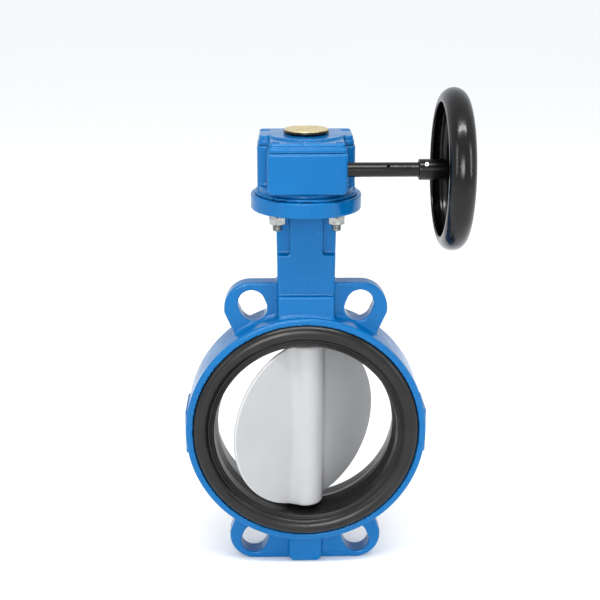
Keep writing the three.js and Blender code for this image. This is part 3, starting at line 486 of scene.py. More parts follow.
class Finish:
    """A procedural material under construction. Pattern sizes are in millimetres."""

    def __init__(self, name, **uniform):
        self.material = bpy.data.materials.new(name)
        self.material.use_nodes = True
        self.tree = self.material.node_tree
        self.shader = self.tree.nodes["Principled BSDF"]
        self.place = self.add("ShaderNodeTexCoord").outputs["Object"]
        self.normal = None
        for socket, value in uniform.items():
            self.shader.inputs[socket.replace("_", " ")].default_value = value

    def add(self, kind, **inputs):
        node = self.tree.nodes.new(kind)
        for socket, value in inputs.items():
            self.put(value, node.inputs[socket.replace("_", " ")])
        return node

    def put(self, value, socket):
        if isinstance(value, bpy.types.NodeSocket):
            self.tree.links.new(value, socket)
        else:
            socket.default_value = value

    def noise(self, size, detail=3.0, roughness=0.5, stretch=(1, 1, 1)):
        """Cloudy noise whose features are about size across."""
        place = self.add("ShaderNodeMapping", Vector=self.place, Scale=stretch).outputs["Vector"]
        node = self.add("ShaderNodeTexNoise", Vector=place, Scale=1 / (size * MM), Detail=detail)
        node.inputs["Roughness"].default_value = roughness
        return node.outputs["Fac"]

    def cells(self, size, output="Distance"):
        node = self.add("ShaderNodeTexVoronoi", Vector=self.place, Scale=1 / (size * MM))
        return node.outputs[output]

    def spread(self, value, low, high, to_low=0.0, to_high=1.0):
        """A value's range stretched to another, clamped at both ends."""
        node = self.add("ShaderNodeMapRange", Value=value)
        ends = {"From Min": low, "From Max": high, "To Min": to_low, "To Max": to_high}
        for socket, number in ends.items():
            node.inputs[socket].default_value = number
        return node.outputs["Result"]

    def times(self, first, second):
        node = self.add("ShaderNodeMath")
        node.operation = "MULTIPLY"
        self.put(first, node.inputs[0])
        self.put(second, node.inputs[1])
        return node.outputs[0]

    def mix(self, share, first, second):
        node = self.tree.nodes.new("ShaderNodeMix")
        node.data_type = "RGBA"
        self.put(share, node.inputs[0])
        self.put(first, node.inputs[6])
        self.put(second, node.inputs[7])
        return node.outputs[2]

    def edge(self, low, high):
        """From 0 to 1 where the modelled surface turns by more than low."""
        node = self.tree.nodes.new("ShaderNodeAttribute")
        node.attribute_name = "edge"
        return self.spread(node.outputs["Fac"], low, high)

    def bump(self, height, depth):
        """Relief of some depth in millimetres, on top of what is there."""
        node = self.add("ShaderNodeBump", Height=height, Distance=depth * MM)
        if self.normal:
            self.put(self.normal, node.inputs["Normal"])
        self.normal = node.outputs["Normal"]

    def done(self, colour, roughness):
        self.put(colour, self.shader.inputs["Base Color"])
        self.put(roughness, self.shader.inputs["Roughness"])
        if self.normal:
            self.put(self.normal, self.shader.inputs["Normal"])
        return self.material


def enamel(name, deep, light, worn, gloss, lumps, shine):
    """Thick gloss enamel over a casting: orange peel, slow tone drift, thin paint on the edges, painted shade in
    the inside corners.
    """
    paint = Finish(name, Coat_Weight=0.18, Coat_Roughness=0.05, Specular_IOR_Level=shine)
    tone = paint.mix(paint.noise(38, 4), deep, light)
    patchy = paint.spread(paint.noise(3.5, 5, 0.65), 0.42, 0.72)
    thin = paint.times(paint.edge(0.35, 0.9), patchy)
    tone = paint.mix(paint.times(thin, 0.55), tone, worn)
    # Painted shade: the paint darkens towards a deeper copy of its own colour in the inside corners, where the
    # surface curves inwards.
    corner_shade = paint.times(paint.edge(-0.25, -0.8), paint.spread(paint.noise(6, 4), 0.35, 0.7))
    tone = paint.mix(paint.times(corner_shade, 0.45), tone, tuple(0.45 * c for c in deep[:3]) + (1.0,))
    paint.bump(paint.noise(16, 2), lumps)
    paint.bump(paint.noise(2.6, 2, 0.4), 0.035)
    paint.bump(paint.spread(paint.cells(9), 0.0, 0.06), 0.02)
    return paint.done(tone, paint.spread(paint.noise(22, 5), 0.3, 0.7, gloss - 0.05, gloss + 0.08))


def blue_paint():
    return enamel("blue_enamel", rgb(0, 94, 150), rgb(0, 105, 162), rgb(24, 132, 188), 0.22, 0.12, 0.3)


def black_paint():
    return enamel("black_enamel", rgb(8, 7, 8), rgb(14, 12, 13), rgb(50, 46, 44), 0.2, 0.05, 0.4)


def rubber():
    """Moulded rubber with a fine mould grain and a faint bloom."""
    skin = Finish("moulded_rubber", Specular_IOR_Level=0.5)
    bloom = skin.spread(skin.noise(24, 6, 0.6), 0.4, 0.75)
    tone = skin.mix(bloom, rgb(18, 17, 16), rgb(32, 29, 27))
    specks = skin.spread(skin.cells(2.2), 0.0, 0.1, 1.0, 0.0)
    tone = skin.mix(skin.times(specks, 0.35), tone, rgb(84, 80, 76))
    skin.bump(skin.noise(0.9, 3, 0.6), 0.03)
    skin.bump(skin.noise(9, 3), 0.08)
    return skin.done(tone, skin.spread(skin.noise(15, 4), 0.3, 0.7, 0.26, 0.36))


def disc_coating():
    """Satin grey powder coat, a little mottled, lighter along the edge: a painted highlight on the rim, with some
    rubbing.
    """
    coat = Finish("grey_powder_coat", Specular_IOR_Level=0.4)
    tone = coat.mix(coat.noise(30, 5, 0.6), rgb(162, 163, 165), rgb(174, 174, 175))
    # Painted highlight, with some rubbing: lighter grey where the surface turns outwards, along the rim.
    tone = coat.mix(coat.times(coat.edge(0.4, 1.0), 0.6), tone, rgb(196, 196, 194))
    specks = coat.spread(coat.cells(5.0), 0.0, 0.05, 1.0, 0.0)
    tone = coat.mix(coat.times(specks, 0.3), tone, rgb(158, 158, 160))
    coat.bump(coat.noise(1.4, 3, 0.5), 0.03)
    coat.bump(coat.noise(18, 2), 0.15)
    return coat.done(tone, coat.spread(coat.noise(12, 4), 0.3, 0.7, 0.42, 0.55))


def bright_metal(name, dark, light, gloss, scratch=(1, 1, 1), spangle=3.0, relief=0.01):
    """Bare or plated metal: crystal spangle, fine tool marks, slightly uneven gloss."""
    metal = Finish(name, Metallic=1.0)
    tone = metal.mix(metal.cells(spangle, "Color"), dark, light)
    tone = metal.mix(metal.spread(metal.noise(7, 5, 0.65), 0.35, 0.75), tone, dark)
    marks = metal.noise(0.5, 2, 0.5, scratch)
    metal.bump(marks, relief)
    return metal.done(tone, metal.spread(metal.noise(4, 4), 0.25, 0.75, gloss - 0.06, gloss + 0.1))


def zinc():
    return bright_metal("zinc_plate", rgb(150, 152, 152), rgb(212, 212, 206), 0.3, spangle=2.0)


def stainless():
    return bright_metal("ground_stainless", rgb(160, 161, 162), rgb(188, 189, 190), 0.24, (1, 1, 14))


def cast_iron():
    return bright_metal("machined_iron", rgb(94, 95, 97), rgb(128, 128, 130), 0.42, (1, 1, 6), 1.4, 0.03)


def bronze():
    return bright_metal("bearing_bronze", rgb(150, 104, 56), rgb(190, 140, 84), 0.34, (12, 1, 1), 1.6)


def brass():
    """Pale polished brass with a fine brushed grain along the pointer."""
    return bright_metal("pale_brass", rgb(232, 212, 158), rgb(238, 220, 168), 0.3, (1, 18, 1), 6.0, 0.006)


def plastic():
    """White bearing plastic with faint flow marks."""
    body = Finish("bearing_plastic", Specular_IOR_Level=0.4)
    tone = body.mix(body.noise(14, 4), rgb(226, 224, 216), rgb(242, 240, 234))
    body.bump(body.noise(1.2, 3), 0.02)
    return body.done(tone, body.spread(body.noise(6, 3), 0.3, 0.7, 0.4, 0.55))


def gasket_sheet():
    """Compressed fibre sheet, flecked."""
    sheet = Finish("fibre_sheet", Specular_IOR_Level=0.2)
    flecks = sheet.spread(sheet.noise(0.7, 4, 0.7, (1, 3, 1)), 0.5, 0.8)
    tone = sheet.mix(flecks, rgb(44, 46, 48), rgb(86, 86, 84))
    sheet.bump(sheet.noise(0.8, 3), 0.05)
    return sheet.done(tone, sheet.spread(sheet.noise(3, 3), 0.3, 0.7, 0.75, 0.9))


MATERIALS = {
    "blue_paint": blue_paint(),
    "rubber": rubber(),
    "disc_coating": disc_coating(),
    "stainless": stainless(),
    "zinc": zinc(),
    "black_paint": black_paint(),
    "brass": brass(),
    "bronze": bronze(),
    "cast_iron": cast_iron(),
    "ptfe": plastic(),
    "gasket": gasket_sheet(),
}


def fitted(piece, body, slot, *nodes):
    """Paints a piece, ties it to its body, and hides the CAD nodes that it stands for."""
    piece.data.materials.clear()
    piece.data.materials.append(MATERIALS[slot])
    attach(piece, body)
    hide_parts(*nodes)


# ---------------------------------------------------------------------------
# Valve body
# ---------------------------------------------------------------------------


def ring_field(x, y, z):
    across = np.hypot(x, z)
    return both(across - RING_RADIUS, np.abs(y) - RING_WIDTH / 2, 2.0)


def lug_outline(top, reach):
    """Half of a lug web's outline, from the ring to the stem axis, above the bore."""
    bend = (reach - LUG_BEND, top - LUG_BEND)
    side = [(-1.0, 80.0), LUG_FOOT, (reach, bend[1] - 4)]
    return side + arc(bend, LUG_BEND, 0, 90, 10) + [(-1.0, top)]


def slot_field(x, z):
    """The upper right bolt slot and its mirror images."""
    direction = (math.sin(SLOT_ANGLE), math.cos(SLOT_ANGLE))
    ends = [(r * direction[0], r * direction[1]) for r in (SLOT_NEAR, SLOT_FAR)]
    return strip(np.abs(x), np.abs(z), ends, SLOT_RADIUS)


def lugs_field(x, y, z):
    upper = polygon(np.abs(x), z, lug_outline(LUG_TOP, LUG_REACH))
    lower = polygon(np.abs(x), -z, lug_outline(LUG_BOTTOM, LOWER_LUG_REACH))
    web = np.where(z > 0, upper, lower)
    return both(web, np.abs(y) - LUG_THICKNESS / 2, 2.0)


def stud_holes(x, y, z, low, high):
    """The four stud holes of the top flange."""
    return bar(np.abs(x) - STUD_OFFSET, np.abs(y) - STUD_OFFSET, z, STUD_HOLE_RADIUS, low, high, 0)


def neck_field(x, y, z):
    lean = (NECK_TOP_HALF - NECK_HALF) / (FLANGE_BOTTOM - RING_BORE)
    side = np.abs(x) - NECK_HALF - lean * (z - RING_BORE)
    column = both(side, np.abs(y) - NECK_DEPTH, 2.5)
    panel = both(PANEL_RIB_HALF - np.abs(x), NECK_DEPTH - PANEL_DEPTH - np.abs(y), 0.8)
    panel = both(panel, PANEL_BOTTOM - z, 3.0)
    column = without(column, panel, 1.2)
    root = both(both(np.abs(x) - NECK_HALF, np.abs(y) - NECK_ROOT_DEPTH, 2.0), z - NECK_ROOT_TOP, 1.4)
    return both(either(column, root, 1.4), between(z, RING_BORE + 4, FLANGE_TOP - 2))


def boss_field(x, y, z):
    sides = both(np.abs(x) - BOSS_HALF, np.abs(y) - BOSS_HALF, 2.0)
    lean = (np.abs(x) + (-z - LUG_BOTTOM) - BOSS_HALF + 4) / math.sqrt(2)
    return both(both(sides, -z - LUG_BOTTOM, 0.8), both(lean, z + RING_BORE + 4), 0.8)


def pads_field(x, y, z):
    face = both(np.abs(x) - PAD_REACH, np.abs(z) - PAD_HALF_HEIGHT, 1.0)
    return both(both(face, np.abs(y) - RING_WIDTH / 2 + 4, 1.2), 100 - np.abs(x))


def body_field(x, y, z):
    cast = either(ring_field(x, y, z), lugs_field(x, y, z), 3.0)
    cast = either(cast, either(neck_field(x, y, z), boss_field(x, y, z)), 3.0)
    cast = either(cast, pads_field(x, y, z), 1.5)
    cast = both(cast, -z - LUG_BOTTOM, 0.8)
    flange = bar(x, y, z, FLANGE_RADIUS, FLANGE_BOTTOM, FLANGE_TOP, 1.2)
    cast = either(cast, flange, 3.5)
    across = np.hypot(x, z)
    recess = both(across - LIP_RADIUS - 0.3, RING_WIDTH / 2 - 3 - np.abs(y))
    cast = without(cast, either(across - RING_BORE, recess), 0.6)
    cast = without(cast, slot_field(x, z), 1.2)
    stem_bore = both(np.hypot(x, y) - STEM_BORE_RADIUS, -z)
    lower_bore = both(np.hypot(x, y) - LOWER_BORE_RADIUS, both(z, -z - LOWER_BORE_DEPTH))
    studs = stud_holes(x, y, z, FLANGE_BOTTOM - 5, FLANGE_TOP + 5)
    return without(cast, either(either(stem_bore, lower_bore), studs), 0.5)


def make_body():
    low = (-PAD_REACH, -FLANGE_RADIUS, -LUG_BOTTOM)
    high = (PAD_REACH, FLANGE_RADIUS, FLANGE_TOP)
    piece = cast_piece("valve_body_casting", body_field, low, high, 1.36)
    fitted(piece, "valve", "blue_paint", "valve_body")


# ---------------------------------------------------------------------------
# Seat
# ---------------------------------------------------------------------------


def seat_outline():
    """The seat's section: from the crown out over the groove and the bead to the back, and its mirror."""
    half = [
        (CROWN, 0.0, 0), (CROWN, 4.0, 3), (BORE, 13.0, 4), (BORE, MOUTH, 1.2),
    ]
    for radius, rise in zip(GROOVE_RADII, (0.8, 0.0, 1.0, 0.0)):
        half.append((radius, MOUTH + rise, 0.4))
    bead = [(radius, along, 0) for radius, along in arc(BEAD_MIDDLE, BEAD_RADIUS, 145, 28, 12)]
    back = [
        (LIP_RADIUS, SEAT_LIP_BACK, 0.3), (SEAT_BACK_RADIUS, SEAT_LIP_BACK, 0.3),
        (SEAT_BACK_RADIUS, SEAT_RIB_HALF, 0.3), (SEAT_RIB_RADIUS, SEAT_RIB_HALF, 0.5),
    ]
    half += bead + back
    mirrored = [(radius, -along, fillet) for radius, along, fillet in reversed(half[1:])]
    return rounded(half + mirrored, 4)


def make_seat():
    piece = turned("seat_moulding", seat_outline(), axis="y", sides=240)
    wide, narrow = STEM_HOLE_RADIUS, STEM_END_HOLE_RADIUS
    outline = [(0.0, -120.0), (narrow, -120.0), (narrow, 0.0), (wide, 0.0), (wide, 120.0), (0.0, 120.0)]
    piece = carved(piece, turned("seat_hole_tool", outline))
    fitted(piece, "valve", "rubber", "seat_liner")


def carved(piece, tool):
    """A piece less a tool, with the result kept as its mesh."""
    boolean = piece.modifiers.new("carve", "BOOLEAN")
    boolean.operation = "DIFFERENCE"
    boolean.solver = "EXACT"
    boolean.object = tool
    bpy.context.view_layer.update()
    graph = bpy.context.evaluated_depsgraph_get()
    mesh = bpy.data.meshes.new_from_object(piece.evaluated_get(graph))
    piece.modifiers.clear()
    piece.data = mesh
    mesh.shade_smooth()
    mesh.set_sharp_from_angle(angle=SHARP_ANGLE)
    bpy.data.objects.remove(tool)
    return piece


# ---------------------------------------------------------------------------
# Disc
# ---------------------------------------------------------------------------


def disc_field(x, y, z):
    """A round wing that thins towards its rim, on a round hub along the stem."""
    across = np.hypot(x, z)
    share = np.clip(across / DISC_RADIUS, 0, 1)
    half = DISC_EDGE_HALF + DISC_DOME * (1 - share) ** 0.75
    steepness = math.hypot(1, DISC_SLOPE / DISC_RADIUS)
    wing = both(across - DISC_RADIUS, (np.abs(y) - half) / steepness, 0.9)
    hub = bar(x, y, z, HUB_RADIUS, -DISC_RADIUS + 1, DISC_RADIUS - 1, 2.5)
    casting = both(either(wing, hub, 5.0), across - DISC_RADIUS, 0.9)
    return without(casting, np.hypot(x, y) - STEM_HOLE_RADIUS, 0.5)


def make_disc():
    high = (DISC_RADIUS, HUB_RADIUS, DISC_RADIUS)
    low = tuple(-value for value in high)
    piece = cast_piece("disc_casting", disc_field, low, high, 1.1, OPEN_ANGLE)
    fitted(piece, "stem_and_disc", "disc_coating", "disc")


# ---------------------------------------------------------------------------
# Gearbox
# ---------------------------------------------------------------------------


def plan_field(x, y, inset):
    """The case's outline from above: a square box behind a narrower block."""
    box = both(np.abs(x) - CASE_HALF + inset, between(y, CASE_FRONT + inset, CASE_BACK - inset), 7.0 - inset)
    block = both(np.abs(x) - BLOCK_HALF + inset, between(y, BLOCK_FRONT + inset, 0.0), 2.5)
    return either(box, block, 1.5)


def along_worm(x, y, z, radius, half):
    """A bar along the worm's axis, of some half length."""
    return bar(y - WORM_Y, z - WORM_Z, x, radius, -half, half, 0.0)


def housing_field(x, y, z):
    foot = bar(x, y, z, FOOT_RADIUS, CASE_BOTTOM, FOOT_TOP, 0.8)
    pedestal = bar(x, y, z, PEDESTAL_RADIUS, FOOT_TOP - 1, PEDESTAL_TOP + 1, 0)
    box = both(np.abs(x) - CASE_HALF, between(y, CASE_FRONT, CASE_BACK), 7.0)
    block = both(np.abs(x) - BLOCK_HALF, PEDESTAL_TOP - 8 - z)
    corner = both(np.abs(x) - BLOCK_HALF, PEDESTAL_TOP - z, 5.0)
    block = both(both(block, corner), between(y, BLOCK_FRONT, 0.0), 2.5)
    case = both(either(box, block, 1.5), PEDESTAL_TOP - z, 1.2)
    case = both(case, z - JOINT_LINE + JOINT_GAP, 2.0)
    skirt = bar(x, y, z, FOOT_RADIUS, FOOT_TOP - 1, PEDESTAL_TOP + 4, 0)
    skirt = both(both(skirt, np.abs(x) - CASE_HALF, 3.0), CASE_FRONT - y, 4.0)
    paint_bead = bar(x, y, z, FOOT_RADIUS, FLANGE_TOP + 0.05, FOOT_TOP, 0.3)
    foot = either(foot, both(paint_bead, FOOT_RADIUS - 0.9 - np.hypot(x, y)))
    solid = either(foot, either(either(pedestal, case, 2.0), skirt), 1.5)
    cavity = bar(x, y, z, CAVITY_RADIUS, CAVITY_FLOOR, JOINT_LINE + 9, 0)
    tunnel = either(along_worm(x, y, z, *WORM_TUNNEL), along_worm(x, y, z, *BUSH_TUNNEL))
    hub = bar(x, y, z, WHEEL_SEAT_RADIUS, CASE_BOTTOM - 12, CAVITY_FLOOR + 3, 0)
    solid = without(solid, either(either(cavity, tunnel), hub), 0.5)
    studs = stud_holes(x, y, z, FLANGE_TOP - 6.5, STUD_HOLE_TOP)
    stops = bar(np.abs(x) - STOP_OFFSET, z - WORM_Z, y, STOP_HOLE_RADIUS, 0.0, CASE_BACK + 7, 0)
    return without(solid, either(studs, stops), 0.5)


SCREW_PLACES = {
    name: tuple((node_box(name)[0][:2] + node_box(name)[1][:2]) / 2)
    for name in ("cover_screw_1", "cover_screw_2", "cover_screw_3", "cover_screw_4")
}


def cover_field(x, y, z):
    bottom = JOINT_LINE + JOINT_GAP
    edge = both(plan_field(x, y, 1.0), z - bottom - 4.0, 1.4)
    top = both(plan_field(x, y, 2.0), z - COVER_TOP, 1.6)
    cover = both(either(edge, top, 0.8), bottom - z, 0.15)
    boss = bar(x, y, z, COVER_BOSS_RADIUS, COVER_TOP - 4, COVER_BOSS_TOP, 0.8)
    cover = either(cover, boss, 0.8)
    hollow = bar(x, y, z, CAVITY_RADIUS, bottom - 5, COVER_BOSS_TOP - 4, 0)
    hole = bar(x, y, z, COVER_HOLE_RADIUS, bottom - 5, COVER_TOP + 10, 0)
    cover = without(cover, either(hollow, hole), 0.6)
    pocket_floor = COVER_TOP - POCKET_DEPTH
    for at_x, at_y in SCREW_PLACES.values():
        pocket = bar(x - at_x, y - at_y, z, POCKET_RADIUS, pocket_floor, COVER_TOP + 5, 0)
        cover = without(cover, pocket, 0.6)
    return cover


def make_gearbox():
    low = (-FOOT_RADIUS, -FOOT_RADIUS, CASE_BOTTOM)
    high = (FOOT_RADIUS, FOOT_RADIUS, JOINT_LINE)
    housing = cast_piece("gearbox_housing_casting", housing_field, low, high, 0.95)
    fitted(housing, "valve", "blue_paint", "gearbox_housing")
    low = (-CASE_HALF, BLOCK_FRONT, JOINT_LINE)
    high = (CASE_HALF, CASE_BACK, COVER_BOSS_TOP)
    cover = cast_piece("gearbox_cover_casting", cover_field, low, high, 0.8)
    fitted(cover, "valve", "blue_paint", "gearbox_cover")


def hexagon_reach(angle):
    """How far a hexagon one unit from centre to flat reaches in a direction."""
    return 1 / np.cos((angle + math.pi / 6) % (math.pi / 3) - math.pi / 6)


def hexagon(across_flats):
    """Turns the outline's outer radius into a hexagon with chamfered corners."""
    def shape(angle, radius, along):
        flat = across_flats / 2
        reach = flat * hexagon_reach(angle)
        outer = radius > flat * 0.99
        drop = np.maximum(reach - flat * HEX_CHAMFER, 0) * math.tan(math.radians(30))
        middle = (along.min() + along.max()) / 2
        level = np.where(outer, along - np.sign(along - middle) * drop, along)
        return np.where(outer, reach, radius), level
    return shape


def hex_nut(name, across_flats, bore, low, high, axis, at):
    """A hexagon nut with chamfered corners and bore, between two levels."""
    flat = across_flats / 2
    outline = [
        (bore, low + 0.5), (bore + 0.5, low), (flat * HEX_CHAMFER, low), (flat, low),
        (flat, high), (flat * HEX_CHAMFER, high), (bore + 0.5, high), (bore, high - 0.5),
    ]
    return softened(turned(name, outline, axis, at, 96, hexagon(across_flats)), 0.15)


def threaded(name, radius, pitch, low, high, axis, at, sides=40):
    """A bar with a real screw thread between two levels and a chamfer at each end."""
    steps = int((high - low) / pitch * 8)
    depth = 0.6 * pitch
    levels = np.linspace(low, high, steps + 1)
    outline = [(0.0, low)] + [(radius, level) for level in levels] + [(0.0, high)]

    def groove(angle, r, along):
        phase = (along / pitch - angle / (2 * math.pi)) % 1
        cut = depth * np.clip(1.15 - 2.6 * np.abs(phase - 0.5), 0, 1)
        end = np.minimum(along - low, high - along)
        limit = radius - depth * 1.1 + end * 1.2
        return np.where(r > 0, np.minimum(r - cut, limit), 0.0), along

    return turned(name, outline, axis, at, sides, groove)


def make_fasteners():
    """Nuts, washers and studs under the top flange."""
    for k in (1, 2, 3, 4):
        for kind in ("nut", "washer", "stud"):
            low, high = node_box(f"flange_{kind}_{k}")
            at = tuple((low[:2] + high[:2]) / 2) + (0.0,)
            name = f"flange_{kind}_{k}_detail"
            if kind == "nut":
                piece = hex_nut(name, NUT_FLATS, NUT_BORE, low[2], high[2], "z", at)
            elif kind == "washer":
                corners = [
                    (NUT_BORE, low[2], 0.15), (WASHER_RADIUS, low[2], 0.3),
                    (WASHER_RADIUS, high[2], 0.3), (NUT_BORE, high[2], 0.15),
                ]
                piece = turned(name, rounded(corners, 2), at=at, sides=64)
            else:
                piece = threaded(name, STUD_RADIUS, STUD_PITCH, low[2], high[2], "z", at)
            fitted(piece, "valve", "zinc", f"flange_{kind}_{k}")


def make_cover_screws():
    """Socket head screws, painted over with the cover."""
    for name, place in SCREW_PLACES.items():
        low, high = node_box(name)
        top = high[2]
        under_head = top - COVER_SCREW_HEAD_HEIGHT
        shank, head = COVER_SCREW_RADIUS, COVER_SCREW_HEAD
        corners = [
            (0.0, low[2], 0), (shank, low[2], 0.3), (shank, under_head, 0), (head, under_head, 0.3),
            (head, top, 1.2), (shank, top, 0.3), (1.75, top - 2.2, 0), (0.0, top - 2.6, 0),
        ]

        def socket(angle, radius, along, top=top):
            inner = (radius > 0) & (radius < 2.2) & (along > top - 3)
            return np.where(inner, radius * 0.87 * hexagon_reach(angle), radius), along

        piece = turned(name + "_detail", rounded(corners, 3), at=place + (0.0,), sides=60, radius_at=socket)
        fitted(piece, "valve", "blue_paint", name)


def make_gasket():
    """The sheet between the top flange and the gear case. The cover's own gasket is the CAD node."""
    low, high = node_box("base_gasket")
    inner, outer = GASKET_RADII
    corners = [(inner, low[2], 0), (outer, low[2], 0.1), (outer, high[2], 0.1), (inner, high[2], 0)]
    piece = turned("base_gasket_sheet", rounded(corners, 2), sides=128)
    fitted(piece, "valve", "gasket", "base_gasket")


def make_stops():
    """The two travel stop screws on the back of the case, with their locknuts."""
    for end in ("open", "closed"):
        low, high = node_box(f"stop_screw_{end}")
        at = ((low[0] + high[0]) / 2, 0.0, WORM_Z)
        name = f"stop_screw_{end}_detail"
        screw = threaded(name, STOP_RADIUS, STOP_PITCH, low[1], high[1], "y", at, 36)
        fitted(screw, "valve", "zinc", f"stop_screw_{end}")
        low, high = node_box(f"stop_locknut_{end}")
        name = f"stop_locknut_{end}_detail"
        nut = hex_nut(name, LOCKNUT_FLATS, LOCKNUT_BORE, low[1], high[1], "y", at)
        fitted(nut, "valve", "zinc", f"stop_locknut_{end}")


def make_indicator():
    """The black indicator head and the brass plate let into it."""
    low, high = node_box("indicator_cap")
    radius = high[0]
    head_bottom = COVER_BOSS_TOP + 0.7
    corners = [
        (0.0, low[2], 0), (12.0, low[2], 0.4), (12.0, head_bottom, 0.3), (radius, head_bottom, 0.9),
        (radius, high[2], 0.7), (0.0, high[2], 0),
    ]
    cap = turned("indicator_head", rounded(corners, 4), sides=128, turn=OPEN_ANGLE)
    fitted(cap, "stem_and_disc", "black_paint", "indicator_cap")
    low, high = node_box("indicator_plate")
    radius = high[0]

    def plate_field(x, y, z):
        disk = bar(x, y, z, radius, low[2], high[2], 0.25)
        groove = both(both(np.abs(y) - 0.9, np.abs(x) - 0.8 * radius, 0.4), high[2] - 0.4 - z)
        ring = both(np.abs(np.hypot(x, y) - 0.9 * radius) - 0.25, high[2] - 0.25 - z)
        return without(disk, either(groove, ring), 0.12)

    corner = (radius, radius, high[2])
    plate = cast_piece("indicator_face", plate_field, (-radius, -radius, low[2]), corner, 0.35, OPEN_ANGLE)
    fitted(plate, "stem_and_disc", "brass", "indicator_plate")


# ---------------------------------------------------------------------------
# Input shaft and handwheel
# ---------------------------------------------------------------------------


def pin_hole(x, y, z):
    """The pin's hole across the hub, leaning from the flow axis."""
    up = (z - WORM_Z) * math.cos(PIN_LEAN) + (y - WORM_Y) * math.sin(PIN_LEAN)
    return np.hypot(x - PIN_PLACE, up) - PIN_HOLE_RADIUS


def rim_section():
    """The middle of the handwheel's sheet, from the rim's free edge round to the hub, as (radius, x)."""
    middle = RIM_LEFT + RIM_WIDTH / 2
    radial = RIM_OUTER - RIM_EDGE - SHEET / 2
    axial = RIM_WIDTH / 2 - SHEET / 2
    rim = arc((RIM_EDGE, middle), radial, -90, 90, 18, axial / radial)
    back = RIM_LEFT + RIM_WIDTH - SHEET / 2
    web = [(52.0, back - 0.3), (48.0, back - 1.3), (16.0, WEB_AT_HUB + 0.2), (13.0, WEB_AT_HUB)]
    return rim + web + [(7.5, WEB_AT_HUB)]


RIM_SECTION = rim_section()


def windows_field(across, angle):
    """The openings between the spokes, all alike."""
    step = 2 * math.pi / WINDOW_COUNT
    local = (angle + step / 2) % step - step / 2
    u, v = across * np.cos(local), across * np.sin(np.abs(local))
    half = step / 2
    spoke_side = v * math.cos(half) - u * math.sin(half) + SPOKE_HALF
    return both(both(WINDOW_INNER - across, across - WINDOW_OUTER), spoke_side, 4.0)


def wheel_field(x, y, z):
    up, back = z - WORM_Z, y - WORM_Y
    across = np.hypot(up, back)
    sheet = strip(across, x, RIM_SECTION, SHEET / 2)
    sheet = without(sheet, windows_field(across, np.arctan2(up, back)), 1.0)
    hub = both(across - WHEEL_HUB_RADIUS, between(x, WHEEL_HUB_LEFT, WEB_AT_HUB + 2.8), 0.9)
    wheel = either(sheet, hub, 1.6)
    wheel = without(wheel, across - SHAFT_RADIUS - 0.2, 0.5)
    wheel = without(wheel, pin_hole(x, y, z), 0.4)
    vent = np.hypot(back, x - RIM_LEFT - RIM_WIDTH / 2) - VENT_RADIUS
    return without(wheel, both(vent, up), 0.4)


def make_handwheel():
    low = (WHEEL_HUB_LEFT, WORM_Y - RIM_OUTER, WORM_Z - RIM_OUTER)
    high = (RIM_LEFT + RIM_WIDTH, WORM_Y + RIM_OUTER, WORM_Z + RIM_OUTER)
    piece = cast_piece("handwheel_pressing", wheel_field, low, high, 0.95)
    fitted(piece, "input_drive", "black_paint", "handwheel")


# ---------------------------------------------------------------------------
# Studio
# ---------------------------------------------------------------------------

EXPOSURE = -0.2
KEY_STRENGTH = 1.3
KEY_DIRECTION = (0.15, 1.0, -0.24)
KEY_SOFTNESS = math.radians(24)
AIR_STRENGTH = 0.86
AIR_COLOUR = (0.95, 0.97, 1.0, 1.0)
FLOOR_SIZE = 30.0
LIGHT_TARGET = (0, 0, 0.22)
CAMERA_PLACE = (-0.0294, -0.9737, 0.5559)
CAMERA_TILT = math.radians(90 - 17.525)
CAMERA_YAW = math.radians(-1.44)
CAMERA_ROLL = 0.002
FOCAL_LENGTH = 70.19


def make_floor():
    bpy.ops.mesh.primitive_plane_add(size=FLOOR_SIZE, location=(0, 0, 0))
    floor = bpy.context.object
    floor.name = "studio_floor"
    surface = Finish("studio_floor", Specular_IOR_Level=0.0)
    tone = surface.mix(surface.noise(900, 2), rgb(251, 251, 251), rgb(253, 253, 253))
    floor.data.materials.append(surface.done(tone, 0.6))


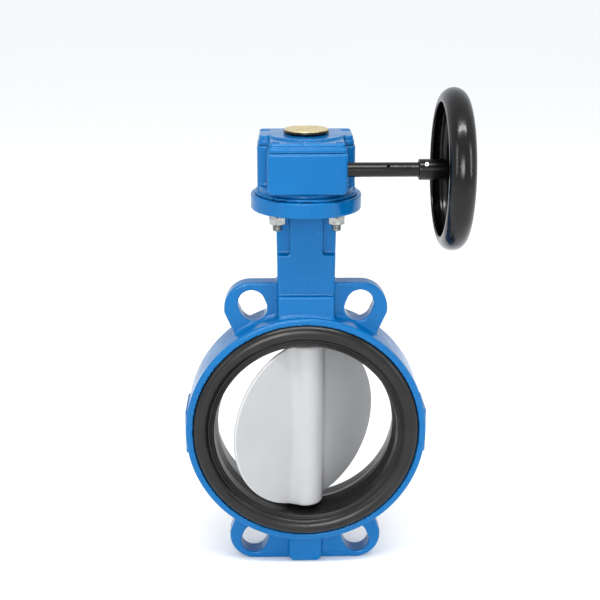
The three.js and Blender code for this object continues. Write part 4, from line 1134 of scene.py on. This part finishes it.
def area_light(name, at, size, power):
    """A white rectangular light aimed at the middle of the valve. Lengths in metres, power in watts."""
    data = bpy.data.lights.new(name, "AREA")
    data.shape = "RECTANGLE"
    data.size, data.size_y = size
    data.energy = power
    light = bpy.data.objects.new(name, data)
    light.location = at
    light.rotation_euler = (Vector(LIGHT_TARGET) - Vector(at)).to_track_quat("-Z", "Y").to_euler()
    bpy.context.scene.collection.objects.link(light)


def make_lights():
    """A broad key from in front, three soft strips and a pale surround."""
    data = bpy.data.lights.new("sky_key", "SUN")
    data.energy = KEY_STRENGTH
    data.angle = KEY_SOFTNESS
    key = bpy.data.objects.new("sky_key", data)
    key.rotation_euler = Vector(KEY_DIRECTION).to_track_quat("-Z", "Y").to_euler()
    bpy.context.scene.collection.objects.link(key)
    area_light("overhead", (0.0, -0.5, 1.6), (1.4, 0.2), 14)
    area_light("left_strip", (-1.5, -0.9, 0.9), (0.3, 1.1), 4)
    area_light("right_strip", (1.5, -0.8, 0.8), (0.25, 1.1), 5)
    world = bpy.data.worlds.new("studio_air")
    world.use_nodes = True
    background = world.node_tree.nodes["Background"]
    background.inputs["Color"].default_value = AIR_COLOUR
    background.inputs["Strength"].default_value = AIR_STRENGTH
    bpy.context.scene.world = world
    view = bpy.context.scene.view_settings
    view.view_transform = "Standard"
    view.look = "Medium High Contrast"
    view.exposure = EXPOSURE


def make_camera():
    """The photograph's view: a little above the object, almost square to the flow."""
    data = bpy.data.cameras.new("camera")
    data.sensor_width = 36.0
    data.lens = FOCAL_LENGTH
    camera = bpy.data.objects.new("camera", data)
    camera.location = CAMERA_PLACE
    aim = Euler((CAMERA_TILT, 0, CAMERA_YAW)).to_matrix()
    roll = Euler((0, 0, CAMERA_ROLL)).to_matrix()
    camera.rotation_euler = (aim @ roll).to_euler()
    bpy.context.scene.collection.objects.link(camera)
    bpy.context.scene.camera = camera


def dress_cad_nodes():
    """The CAD nodes that stay in view take the finish of their slot."""
    slots = {part["node"]: part["material_slot"] for part in frame["record"]["subparts"]}
    for name, node in frame["nodes"].items():
        node.data.materials.clear()
        node.data.materials.append(MATERIALS[slots[name]])


make_camera()
make_lights()
make_floor()
dress_cad_nodes()
make_body()
make_seat()
make_disc()
make_gearbox()
make_fasteners()
make_cover_screws()
make_gasket()
make_stops()
make_indicator()
make_handwheel()
